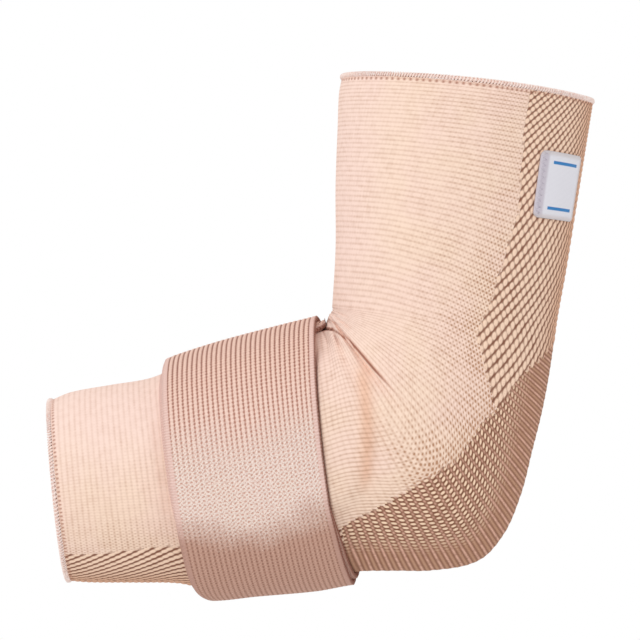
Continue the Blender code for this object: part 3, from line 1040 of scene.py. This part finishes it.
def hem_piece(name, end_place, outward, loop_pitch):
    """A soft core over the raw edge, and the loops of thread wound round it."""
    girth = 2 * float(half_girth([end_place])[0])
    loops = int(girth / loop_pitch)
    core_turns = np.linspace(0, 360, 241)[:-1, None]
    core_angles = np.linspace(0, 2 * np.pi, 11)[None, :-1]
    core = hem_point(end_place, outward, core_turns, core_angles, 0.0, -0.8 * THREAD)
    angle = np.linspace(0, 2 * np.pi, 19)[:-1]
    threads = []
    for i in range(loops):
        turn = 360 * (i + 0.42 * np.sin(angle) + 0.25 * np.sin(2 * angle)) / loops
        middle = hem_point(end_place, outward, turn, angle, HEM_COVER, 0.0)
        above = hem_point(end_place, outward, turn, angle, HEM_COVER, 0.001)
        threads.append(thread_along(middle, above - middle, THREAD, THREAD_SIDES, True))
    piece = threads_piece(name, threads, True, THREAD_SIDES)
    bead = cloth_from_rings(name + "_core", np.ascontiguousarray(core), {}, True)
    return piece, bead


upper_hem, upper_core = hem_piece("upper_hem_thread", ARM_END, 1, UPPER_LOOP)
wrist_hem, wrist_core = hem_piece("wrist_hem_thread", -FOREARM_LENGTH, -1, WRIST_LOOP)

# %% [markdown]
# ## A thin patch
# The label and the hook tab are both thin flat pieces with rounded corners that lie on curved
# cloth. A flat plate would stand off at its ends. This helper takes the way to place a point on
# the cloth from its caller, so the same rows of points bend over the knit for one, and over the
# strap for the other.

# %% Patch helper
PATCH_ROWS = 41


def flat_patch(name, point_at, across, along, thickness, corner):
    """A thin sheet with rounded corners. point_at gives a point from across, along and height."""
    rows = np.linspace(-1, 1, PATCH_ROWS)
    columns = np.linspace(0, 1, PATCH_ROWS)
    half_length = along / 2
    overhang = np.clip(np.abs(rows) * half_length - (half_length - corner), 0, None)
    inset = corner - np.sqrt(np.clip(corner**2 - overhang**2, 0, None))
    start, end = inset, across - inset
    spread = start[:, None] + (end - start)[:, None] * columns[None, :]
    length = rows[:, None] * half_length + 0 * spread
    top = point_at(spread, length, thickness)
    under = point_at(spread[:, ::-1], length[:, ::-1], 0.0)
    rings = np.concatenate([top, under], axis=1)
    face_map = np.stack([spread, length], -1)
    both = np.concatenate([face_map, face_map[:, ::-1]], axis=1)
    return cloth_from_rings(name, rings, {"patch": with_seam(both * 1000)}, False)


print("points on one face of a patch", PATCH_ROWS**2)

# %% [markdown]
# ## Label
# The label is a folded piece of white satin ribbon on the outer edge of the upper arm, sewn on
# along its front edge. It lies on the knit without being pressed in, so it is a patch with a
# small gap below.

# %% Label mesh
LABEL_WIDTH = 0.0252
LABEL_HEIGHT = 0.0250
LABEL_THICKNESS = 0.0007
LABEL_STATION = 0.0532
LABEL_TURN = 126.2
LABEL_CORNER = 0.0022

label_place = ELBOW_ARC + LABEL_STATION
label_here = tube_point(label_place, np.array([LABEL_TURN, LABEL_TURN + 1.0]))
label_span = 1.0 / float(np.linalg.norm(label_here[1] - label_here[0]))


def label_point(across, along, height):
    """Points of the label over the knit."""
    return tube_point(label_place + along, LABEL_TURN + across * label_span, SEWN_GAP + height)


label = flat_patch(
    "woven_label", label_point, LABEL_WIDTH, LABEL_HEIGHT, LABEL_THICKNESS, LABEL_CORNER
)
print("label", LABEL_WIDTH * 1000, "by", LABEL_HEIGHT * 1000, "mm")

# %% [markdown]
# ## Stitches of the label
# A zigzag of fine thread holds the front edge. Each stitch is one short thread that rises a
# little in its middle, and every second one runs back.

# %% Label stitches
ZIGZAG_STEP = 0.0011
ZIGZAG_WIDTH = 0.0022
ZIGZAG_INSET = 0.0007
ZIGZAG_START = 0.0006
FINE_THREAD = 0.00016
share = np.linspace(0, 1, 9)
label_zigzag = []
for step in range(int(LABEL_HEIGHT / ZIGZAG_STEP)):
    zig = np.where(step % 2 == 0, share, 1 - share)
    along = -LABEL_HEIGHT / 2 + ZIGZAG_START + (step + share) * ZIGZAG_STEP
    across = ZIGZAG_INSET + zig * ZIGZAG_WIDTH
    rise = 0.00012 + 0.0001 * np.sin(np.pi * share)
    middle = label_point(across, along, LABEL_THICKNESS + rise)
    above = label_point(across, along, LABEL_THICKNESS + 0.002)
    label_zigzag.append(thread_along(middle, above - middle, FINE_THREAD, THREAD_SIDES, False))
label_thread = threads_piece("label_thread", label_zigzag, False, THREAD_SIDES)

# %% [markdown]
# ## Hook tab
# The strap's outer end is held by a patch of hook tape below it, which grips the loops of the
# turn underneath. It follows the band, like the strap's own end, and shows a few millimetres past
# it.

# %% Hook tab mesh
TAB_CORNER = 0.003
tab_here = band_point(np.array([STRAP_END, STRAP_END + 1.0]), 0.0, 0.004)
tab_span = 1.0 / float(np.linalg.norm(tab_here[1] - tab_here[0]))


def tab_point(across, along, height):
    """Points of the hook tab, on the turn of the band below it."""
    turn = STRAP_END + (TAB_SHOW - TAB_LENGTH + across) * tab_span
    return band_point(turn, along, strap_height(turn - 360) + STRAP_THICKNESS + SEWN_GAP + height)


tab = flat_patch("hook_tab_tape", tab_point, TAB_LENGTH, TAB_WIDTH, TAB_THICKNESS, TAB_CORNER)
print("hook tab", TAB_LENGTH * 1000, "by", TAB_WIDTH * 1000, "mm")

# %% [markdown]
# ## Seam on the strap's end
# A long narrow box of stitches holds the tape to the webbing. Each stitch is a thread of its own
# that is thicker in the middle and dips in at its ends, where the needle went through.

# %% Seam that holds the hook tab
# corners of the box of stitches: distance back from the strap's end, and across
SEAM = (
    (0.0030, -0.026),
    (0.0030, 0.026),
    (0.0070, 0.026),
    (0.0070, -0.026),
    (0.0030, -0.026),
)
SEAM_STITCH = 0.0026
SEAM_THREAD = 0.00022
SEAM_SIDES = 6
seam_threads = []
for (back0, across0), (back1, across1) in zip(SEAM, SEAM[1:]):
    length = math.hypot(back1 - back0, across1 - across0)
    count = max(1, round(length / SEAM_STITCH))
    for step in range(count):
        share = (step + np.linspace(0.10, 0.90, 9)) / count
        turn = STRAP_END - (back0 + (back1 - back0) * share) * tab_span
        sideways = across0 + (across1 - across0) * share
        rise = 0.00018 * np.sin(np.pi * np.linspace(0, 1, 9))
        middle = band_point(turn, sideways, strap_height(turn) + STRAP_THICKNESS + rise)
        above = band_point(turn, sideways, strap_height(turn) + STRAP_THICKNESS + 0.002)
        slim = SEAM_THREAD * (0.45 + 0.55 * np.sin(np.pi * np.linspace(0.06, 0.94, 9)))
        seam_threads.append(thread_along(middle, above - middle, slim, SEAM_SIDES, False))
strap_seam = threads_piece("strap_seam_thread", seam_threads, False, SEAM_SIDES)

# %% [markdown]
# ## How the finishes are made
# No picture is used for any colour. A material in Blender is a net of nodes, and each node does
# one step of arithmetic at every point of the surface. The net could be laid by hand in the
# shader editor. Written here, it can count stitches from the same maps as the meshes. An Amount
# is a number that changes over the surface: sums and products of amounts are written as on paper,
# and each adds its own node.

# %% Amounts


class Amount:
    """A number that changes over the surface. Arithmetic with it adds nodes to its finish."""

    def __init__(self, finish, socket):
        self.finish = finish
        self.socket = socket

    def __add__(self, other):
        return self.finish.calc("ADD", self, other)

    def __sub__(self, other):
        return self.finish.calc("SUBTRACT", self, other)

    def __rsub__(self, other):
        return self.finish.calc("SUBTRACT", other, self)

    def __mul__(self, other):
        return self.finish.calc("MULTIPLY", self, other)

    def __truediv__(self, other):
        return self.finish.calc("DIVIDE", self, other)

    def __pow__(self, other):
        return self.finish.calc("POWER", self, other)

    def __abs__(self):
        return self.finish.calc("ABSOLUTE", self)

    def lesser(self, other):
        """The lesser of two amounts."""
        return self.finish.calc("MINIMUM", self, other)

    def greater(self, other):
        """The greater of two amounts."""
        return self.finish.calc("MAXIMUM", self, other)

    def below(self, limit):
        """1 where this amount is under a limit, and 0 elsewhere."""
        return self.finish.calc("LESS_THAN", self, limit)

    def clamped(self):
        """The same amount, kept between 0 and 1."""
        self.socket.node.use_clamp = True
        return self

    def wave(self, power=1.0):
        """1 at whole numbers and 0 half way between. A higher power makes narrower crests."""
        crest = self.finish.calc("COSINE", self * (2 * math.pi)) * 0.5 + 0.5
        return crest if power == 1.0 else crest**power

    def ramp(self, low, high, to_low=0.0, to_high=1.0):
        """A smooth change from one number to another as this amount goes from low to high."""
        node = self.finish.node("ShaderNodeMapRange")
        node.interpolation_type = "SMOOTHSTEP"
        self.finish.feed_all(list(node.inputs)[:5], (self, low, high, to_low, to_high))
        return Amount(self.finish, node.outputs[0])

    def between(self, first, second):
        """The first colour where this amount is 0, the second where it is 1."""
        node = self.finish.node("ShaderNodeMix")
        node.data_type = "RGBA"
        sockets = (node.inputs[0], node.inputs[6], node.inputs[7])
        self.finish.feed_all(sockets, (self, first, second))
        return node.outputs[2]


named_steps = [word for word in vars(Amount) if not word.startswith("_")]
print("named steps of an amount", named_steps)

# %% [markdown]
# ## One helper for a whole finish
# Every cloth here is one Principled shader. What changes from cloth to cloth is the net in front
# of it: which maps and noises it reads, and what it feeds to the base colour and to the bump.
# Colours are given as a screen shows them, from 0 to 255, because that is how a maker reads them
# off a swatch, and are turned into light.

# %% Finishes


class Finish:
    """A material under construction."""

    def __init__(self, name):
        self.material = bpy.data.materials.new(name)
        self.material.use_nodes = True
        self.tree = self.material.node_tree
        self.shader = self.tree.nodes["Principled BSDF"]

    def node(self, kind):
        """A new node in the net."""
        return self.tree.nodes.new(kind)

    def feed(self, socket, value):
        """Links a socket, or sets it to a plain value."""
        value = value.socket if isinstance(value, Amount) else value
        if isinstance(value, bpy.types.NodeSocket):
            self.tree.links.new(value, socket)
        else:
            socket.default_value = value

    def feed_all(self, sockets, values):
        """Links or sets several sockets."""
        for socket, value in zip(sockets, values):
            self.feed(socket, value)

    def calc(self, operation, *values):
        """One step of arithmetic."""
        node = self.node("ShaderNodeMath")
        node.operation = operation
        self.feed_all(node.inputs, values)
        return Amount(self, node.outputs[0])

    def read_map(self, name):
        """The two numbers of a texture map."""
        source = self.node("ShaderNodeUVMap")
        source.uv_map = name
        split = self.node("ShaderNodeSeparateXYZ")
        self.feed(split.inputs[0], source.outputs[0])
        return Amount(self, split.outputs[0]), Amount(self, split.outputs[1])

    def noise(self, scale, detail=2.0, place=None):
        """Soft random values about 0.5, at the object's own place or at two amounts."""
        node = self.node("ShaderNodeTexNoise")
        node.inputs["Scale"].default_value = scale
        node.inputs["Detail"].default_value = detail
        if place is None:
            self.feed(node.inputs["Vector"], self.node("ShaderNodeTexCoord").outputs["Object"])
        else:
            spot = self.node("ShaderNodeCombineXYZ")
            self.feed_all(spot.inputs, place)
            self.feed(node.inputs["Vector"], spot.outputs[0])
        return Amount(self, node.outputs["Fac"])

    def bump(self, height, distance, strength):
        """Puts a fine height on the surface."""
        node = self.node("ShaderNodeBump")
        node.inputs["Strength"].default_value = strength
        node.inputs["Distance"].default_value = distance
        self.feed(node.inputs["Height"], height)
        self.feed(self.shader.inputs["Normal"], node.outputs[0])

    def finish_with(self, base_colour, roughness):
        """Gives the shader its colour and its roughness."""
        self.feed(self.shader.inputs["Base Color"], base_colour)
        self.shader.inputs["Roughness"].default_value = roughness


def colour(red, green, blue):
    """A colour as a screen shows it, 0 to 255, turned into light."""
    return tuple((((v / 255) + 0.055) / 1.055) ** 2.4 for v in (red, green, blue)) + (1.0,)


print("mid grey is", round(colour(128, 128, 128)[0], 3), "as light")

# %% [markdown]
# ## Where each part of the knit lies
# The three knits share one material, because they are one cloth. It reads five maps of the mesh:
# the count of wales and courses, the depth inside the twill and the patch, the place on the tube,
# the creases and the strip of painted shade, and the count that leans. From these come the shares
# that later steps need: how far a point is on the body's side, near the strap, or out towards the
# twill.

# %% Maps and shares of the knit
knit = Finish("knit")
wale, course = knit.read_map("stitch")
in_twill, in_patch = knit.read_map("zone")
across, place = knit.read_map("where")
crease, painted_rim_shade = knit.read_map("fold")
leaning, along = knit.read_map("jersey")

body_side = place.ramp(-0.3, 0.0)
cuff_side = 1.0 - body_side
outer_side = across.ramp(0.18, 0.78) * (body_side * 0.85 + 0.15)
beside_strap = place.ramp(0.10, 0.27, 1.0, 0.0) * body_side * across.ramp(0.1, 0.6, 0.3, 1.0)
clear_of_strap = 1.0 - beside_strap
lower_down = place.ramp(0.65, 1.5, 1.0, 0.34)
near_twill = in_twill.greater(in_patch).ramp(-18.0, 0.0)
grain = knit.noise(420.0)
loose_grain = grain - 0.5
print("knit nodes for maps and shares", len(knit.tree.nodes))

# %% [markdown]
# ## Plain jersey
# Jersey shows the backs of its stitches as faint rows round the tube. Towards the twill it opens
# into small dark dots, and next to the strap it is stretched along the wales. A woven or painted
# pattern would be the same everywhere. So each kind of line is a wave over the stitch counts,
# with an amount that says how strongly it shows there.

# %% Jersey stitches
DOTS_PER_WALE = 0.94
LINES_PER_WALE = 1.12

dot_wale = leaning * DOTS_PER_WALE
dots = (dot_wale - course).wave(1.2) * (dot_wale + course).wave(1.2)
course_line = course.wave(2.0)
wale_line = (leaning * LINES_PER_WALE).wave(2.2)

course_amount = (outer_side * 0.14 + 0.26) * (clear_of_strap * 0.75 + 0.25)
dot_amount = outer_side * 0.60 + (near_twill * 0.55 + 0.06)
dot_amount = dot_amount * (clear_of_strap * 0.9 + 0.1) * lower_down
cuff_lines = across.ramp(0.22, 0.55) * place.ramp(-0.66, -0.60, 0.13, 0.0)
along_patch = in_patch.ramp(-7.0, -1.0, 0.0, 0.35)
wale_amount = (beside_strap * 0.44 + 0.05).greater(along_patch) + cuff_lines

uneven = knit.noise(130.0, 4.0).ramp(0.3, 0.7, 0.78, 1.22)
stitches = course_line * course_amount + dots * dot_amount + wale_line * wale_amount
stitches = (stitches + loose_grain * 0.42) * (body_side * 0.25 + 0.75)
stitches = (stitches * uneven).clamped()
print("knit nodes with the jersey's stitches", len(knit.tree.nodes))

# %% [markdown]
# ## Colour of the jersey
# The yarn is a peach beige that isn't quite even: pinker towards the crook and a little yellower
# low on the cuff. Where the swelling beside the strap ends and turns away from the lamps, a darker,
# warmer strip of painted shade lies over it. One flat colour would look like plastic. Soft blends
# over the light colour give those, and the stitches darken it.

# %% Jersey colour
tint = knit.noise(38.0).ramp(0.35, 0.65)
warm_cuff = across.ramp(0.30, 0.75) * place.ramp(-0.75, -0.60, 1.0, 0.0)
pinker = across.ramp(0.02, 0.32, 0.8, 0.0) * body_side
pinker = pinker + across.ramp(0.10, 0.60, 0.9, 0.0) * cuff_side

jersey_light = tint.between(colour(255, 227, 206), colour(255, 225, 209))
jersey_light = (warm_cuff * 0.12).between(jersey_light, colour(246, 212, 186))
jersey_light = pinker.between(jersey_light, colour(255, 226, 214))
# painted shade: a darker, warmer strip along the swelling's far border
jersey_light = (painted_rim_shade * 0.72).between(jersey_light, colour(248, 198, 168))
jersey = stitches.between(jersey_light, colour(190, 143, 113))
print("knit nodes with the jersey", len(knit.tree.nodes))

# %% [markdown]
# ## Twill
# The twill's light grains stand in slanting rows with dark brown sunken lines between them. The
# mesh already has them as relief. Light on the relief alone leaves the gaps too pale, so the
# colour follows the same two counts as the relief: one across the rows, one along them. On the
# forearm the rows slant the other way. Near the outer line, where the tube turns out of the light,
# both colours are darker: painted shade.

# %% Twill colour
on_forearm = place.below(0.0)
rising = (course - wale) * 0.5
falling = (course + wale) * 0.5
other_way = (falling - rising) * on_forearm
row = (rising + 0.5 + other_way).wave(0.7)
cell = (falling + 0.5 - other_way).wave()
broken = on_forearm * (BROKEN_FOREARM - BROKEN_BODY) + BROKEN_BODY
twill_grain = row * (1.0 - broken * (1.0 - cell)) + loose_grain * 0.35 + on_forearm * -0.11

# painted shade: the twill's colours darken towards the outer line, where the tube turns out of the
# light
clear_of_outline_shade = abs(wale).ramp(2.0, 22.0)
twill_dark = clear_of_outline_shade.between(colour(120, 80, 58), colour(142, 96, 76))
twill_light = clear_of_outline_shade.between(colour(222, 172, 142), colour(255, 222, 197))
twill = twill_grain.ramp(-0.04, 0.54).between(twill_dark, twill_light)
print("knit nodes with the twill", len(knit.tree.nodes))

# %% [markdown]
# ## Patch
# The elbow patch is knitted closer, from a brown ground yarn. Light ovals stand side by side in
# its ribs, with a thin beaded line between two ribs. Near the outer line the ovals run together
# into plain stripes. All of it counts wales and courses, as the relief of the patch does.

# %% Patch colour
oval_count = wale * PATCH_WALE
rib_band = (1.0 - course.wave()) ** 0.9
oval = oval_count.wave() * rib_band + loose_grain * 0.30
from_line = abs(wale).ramp(16.0, 26.0)
thin_line = course.wave(4.0) * grain.ramp(0.25, 0.6, 0.6, 1.0)
beads = (oval_count + 0.5).wave() * 0.65 + 0.25
beads = (beads + (1.0 - from_line) * 0.75).clamped()

ground = (thin_line * beads).between(colour(136, 90, 68), colour(230, 182, 160))
ovals = oval.ramp(0.10, 0.68).between(ground, colour(255, 222, 192))
stripes = (rib_band**3.0 * 0.85).between(ground, colour(206, 160, 132))
patch = from_line.between(stripes, ovals)
print("knit nodes with the patch", len(knit.tree.nodes))

# %% [markdown]
# ## The whole sleeve
# The three knits meet at the stepped borders of their zones. A row of needle holes runs along
# both ends, where the overlock bites into the knit. The creases get painted brown shade as well as
# their shape, and the deepest one in the crook a near-black painted shadow, because so narrow a
# fold keeps more light out than soft lamps show.

# %% Sleeve material
cloth = in_twill.ramp(-0.4, 0.4).between(jersey, twill)
cloth = in_patch.ramp(-0.5, 0.5).between(cloth, patch)
from_end = (ARM_END * 1000 - along).lesser(along + FOREARM_LENGTH * 1000)
needle_row = from_end.ramp(0.3, 0.6) * from_end.ramp(1.2, 1.7, 1.0, 0.0)
needle_holes = needle_row * (wale * 0.78).wave(1.5)
hemmed = (needle_holes * 0.75).between(cloth, colour(170, 112, 92))
# painted shade in the creases, near black in the deepest one
crease_shaded = crease.ramp(0.10, 1.1, 0.0, 0.85).between(hemmed, colour(158, 96, 74))
crease_shaded = crease.ramp(1.4, 2.2).between(crease_shaded, colour(60, 30, 24))
knit.finish_with(crease_shaded, 0.92)
knit.shader.inputs["Specular IOR Level"].default_value = 0.2
knit.bump(stitches * -1.0, 0.0003, 0.5)
for piece in (sleeve_body, sleeve_cuff):
    piece.data.materials.append(knit.material)
    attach(piece, "root")
    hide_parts("sleeve")
print("knit nodes in all", len(knit.tree.nodes))

# %% [markdown]
# ## Threads of the strap
# The webbing has cords along it, the ribs, and a cross thread that binds them, the pick. Where
# the two counts are added or taken from each other, slanting rows come out, which is how the pick
# shows on the front as small dashes. Three noises keep it from looking printed: a slow cloud, a
# fleck and a speck the size of one thread.

# %% Ribs, picks and dashes
PICK_PITCH = 1.54

webbing = Finish("webbing")
band_across, band_along = webbing.read_map("band")
side_share = webbing.read_map("side")[0]
rib_number = (band_across + (half_strap - SELVEDGE) * 1000) / (rib_width * 1000)
pick_number = band_along / PICK_PITCH
cloud = webbing.noise(0.06, 3.0, (band_across, band_along))
fleck = webbing.noise(1.1, 2.0, (band_across, band_along))
speck = webbing.noise(1.9, 1.0, (band_across, band_along)) - 0.5

pick = pick_number.wave()
gap_line = rib_number.wave(1.9)
ridge = 1.0 - gap_line
slant = (rib_number - pick_number).wave()
back_slant = (rib_number + pick_number).wave()
dash = slant * 0.40 + back_slant * 0.26 + pick * 0.22 + ridge * 0.06 + speck * 1.5
beaded = (1.0 - gap_line * (pick * -0.34 + 1.0)) * (pick * 0.26 + 0.74) + speck * 0.7
print("strap nodes for the threads", len(webbing.tree.nodes))

# %% [markdown]
# ## Colour of the strap
# The webbing shows its ribs most near the crook, where it is stretched. On the front it is paler,
# with dashes, and underneath it is flat and darker brown. That is partly the webbing's own look and
# partly painted light and shade: painted shade in the grooves between the ribs at the crook,
# painted light on the front, and painted shade underneath, where the band turns away from the
# lamps. So ribs, dashes and ground change with how far round the forearm a point lies, and the
# noises make the borders ragged.

# %% Crook, front and underside
shifted_side = side_share + (cloud - 0.5) * 0.12 + (fleck - 0.5) * 0.06 + abs(band_across) * 0.0013
front_side = shifted_side.ramp(0.36, 0.50)
under_side = shifted_side.ramp(0.60, 0.72)

# painted shade: dark grooves between the ribs, darkest right at the crook
crook_groove_shade = side_share.ramp(0.10, 0.40).between(colour(150, 92, 76), colour(190, 132, 114))
crook_light = side_share.ramp(0.20, 0.42).between(colour(252, 216, 199), colour(255, 224, 210))
crook_cloth = beaded.ramp(0.0, 0.90).between(crook_groove_shade, crook_light)
# painted light: the front, which faces the lamps, is paler
front_painted_light = cloud.between(colour(255, 240, 226), colour(255, 237, 230))
front_cloth = dash.ramp(0.0, 0.72).between(colour(220, 170, 152), front_painted_light)
front_ribs = rib_number.wave(2.2) * side_share.ramp(0.42, 0.56, 0.34, 0.06)
front_cloth = front_ribs.between(front_cloth, colour(190, 138, 120))
# painted shade: the underside is darker brown, where the band turns away from the lamps
under_cloth_shaded = (ridge * 0.50 + dash * 0.50).between(colour(156, 111, 93), colour(221, 178, 159))

strap_colour = front_side.between(crook_cloth, front_cloth)
strap_colour = under_side.between(strap_colour, under_cloth_shaded)
strap_colour = fleck.ramp(0.3, 0.75, 0.0, 0.18).between(strap_colour, colour(186, 132, 112))
print("strap nodes with the cloth", len(webbing.tree.nodes))

# %% [markdown]
# ## Selvedges of the strap
# Both long edges are woven smooth and paler, without ribs. A darker line runs along the edge
# itself, where the side of the webbing turns out of the light. It is strongest on the elbow's
# side. Underneath, where the band turns away from the lamps, the selvedges get painted shade too.

# %% Strap material
from_edge = half_strap * 1000 - abs(band_across)
selvedge = from_edge.ramp(SELVEDGE * 1000 - 0.5, SELVEDGE * 1000, 0.9, 0.0)
selvedge_colour = (band_along * 0.9).wave().between(colour(232, 192, 180), colour(246, 212, 202))
# painted shade: the selvedge is darker underneath
selvedge_colour = (under_side * 0.8).between(selvedge_colour, colour(186, 140, 122))
towards_elbow = band_across.ramp(-5.0, 5.0, 1.0, 0.10)
edge_knots = (band_along * 0.72).wave() * 0.25 + 0.75
edge_line = from_edge.ramp(0.25, 0.90, 0.95, 0.0) * towards_elbow * edge_knots
edged = selvedge.between(strap_colour, selvedge_colour)
edged = edge_line.between(edged, colour(128, 74, 56))
webbing.finish_with(edged, 0.8)
webbing.shader.inputs["Specular IOR Level"].default_value = 0.25
webbing.bump(dash, 0.0003, 0.8)
strap.data.materials.append(webbing.material)
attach(strap, "root")
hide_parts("strap")
print("strap nodes in all", len(webbing.tree.nodes))

# %% [markdown]
# ## Overlock thread
# The hems are wound with a pale pink, slightly shiny thread. The loops are real shape already, so
# the finish only needs the fine strands of the yarn and a slow change of tint along the hem. The
# seam on the strap's end is sewn with the same thread.

# %% Hem material
overlock = Finish("overlock")
strand = overlock.noise(1400.0, 3.0)
patchy = overlock.noise(60.0).ramp(0.35, 0.65)
pale = patchy.between(colour(255, 236, 226), colour(255, 240, 234))
overlock.finish_with(strand.ramp(0.35, 0.8).between(pale, colour(238, 198, 184)), 0.75)
overlock.bump(strand, 0.0001, 0.5)
hem_pieces = (
    (upper_hem, "upper_hem"),
    (upper_core, "upper_hem"),
    (wrist_hem, "wrist_hem"),
    (wrist_core, "wrist_hem"),
)
for piece, node in hem_pieces:
    piece.data.materials.append(overlock.material)
    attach(piece, "root")
    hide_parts(node)
strap_seam.data.materials.append(overlock.material)
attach(strap_seam, "root")
print("hem nodes", len(overlock.tree.nodes))

# %% [markdown]
# ## Satin of the label
# The label is woven satin, white with a cool tint. Two thin blue lines run along its long edges,
# inside a plain border that is greyer, and its sewn edge is greyer too. Printed ink would sit on
# top of the weave. Here the lines take the weave's own light and dark, because they are woven in.

# %% Label material
LABEL_LINE_PLACE = 4.0

woven = Finish("woven")
label_across, label_along = woven.read_map("patch")
weave = (label_across * 2.6).wave() * 0.6 + (label_along * 2.2).wave() * 0.4
from_long_edge = LABEL_HEIGHT / 2 * 1000 - abs(label_along)
face = weave.between(colour(224, 222, 232), colour(248, 247, 252))
face = label_across.ramp(3.2, 4.6, 0.75, 0.0).between(face, colour(206, 196, 208))
line = abs(from_long_edge - LABEL_LINE_PLACE).ramp(0.45, 0.75, 1.0, 0.0)
line = line * label_across.ramp(6.0, 6.3) * label_across.ramp(21.2, 21.5, 1.0, 0.0)
face = line.between(face, weave.between(colour(24, 116, 186), colour(44, 140, 206)))
from_border = from_long_edge.lesser(LABEL_WIDTH * 1000 - label_across)
face = from_border.ramp(0.7, 2.2, 0.75, 0.0).between(face, colour(216, 206, 206))
woven.finish_with(face, 0.5)
woven.bump(weave, 0.00015, 0.6)
label.data.materials.append(woven.material)
label_thread.data.materials.append(woven.material)
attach(label, "root")
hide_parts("label")
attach(label_thread, "root")
print("label nodes", len(woven.tree.nodes))

# %% [markdown]
# ## Hook tape
# The tab is hook tape: a stiff beige ground with rows of tiny dark hooks. Hooks are far too many
# to model on a piece that hardly shows, so two waves cross to give a grid of dots, in the colour
# and in the bump.

# %% Hook tab material
HOOKS_PER_MM = 0.8

hooks = Finish("hooks")
tab_across, tab_along = hooks.read_map("patch")
hook_dot = (tab_across * HOOKS_PER_MM).wave() * (tab_along * HOOKS_PER_MM).wave()
hooks.finish_with(hook_dot.between(colour(196, 150, 128), colour(150, 104, 84)), 0.6)
hooks.bump(hook_dot, 0.0004, 1.0)
tab.data.materials.append(hooks.material)
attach(tab, "root")
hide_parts("hook_tab")
print("hook tab nodes", len(hooks.tree.nodes))

# %% [markdown]
# ## Last step
# The mean girth round the body and round the cuff is worked out from every tenth row.

body_girth = 2 * float(half_girth(body_places[::10]).mean())
cuff_girth = 2 * float(half_girth(cuff_places[::10]).mean())
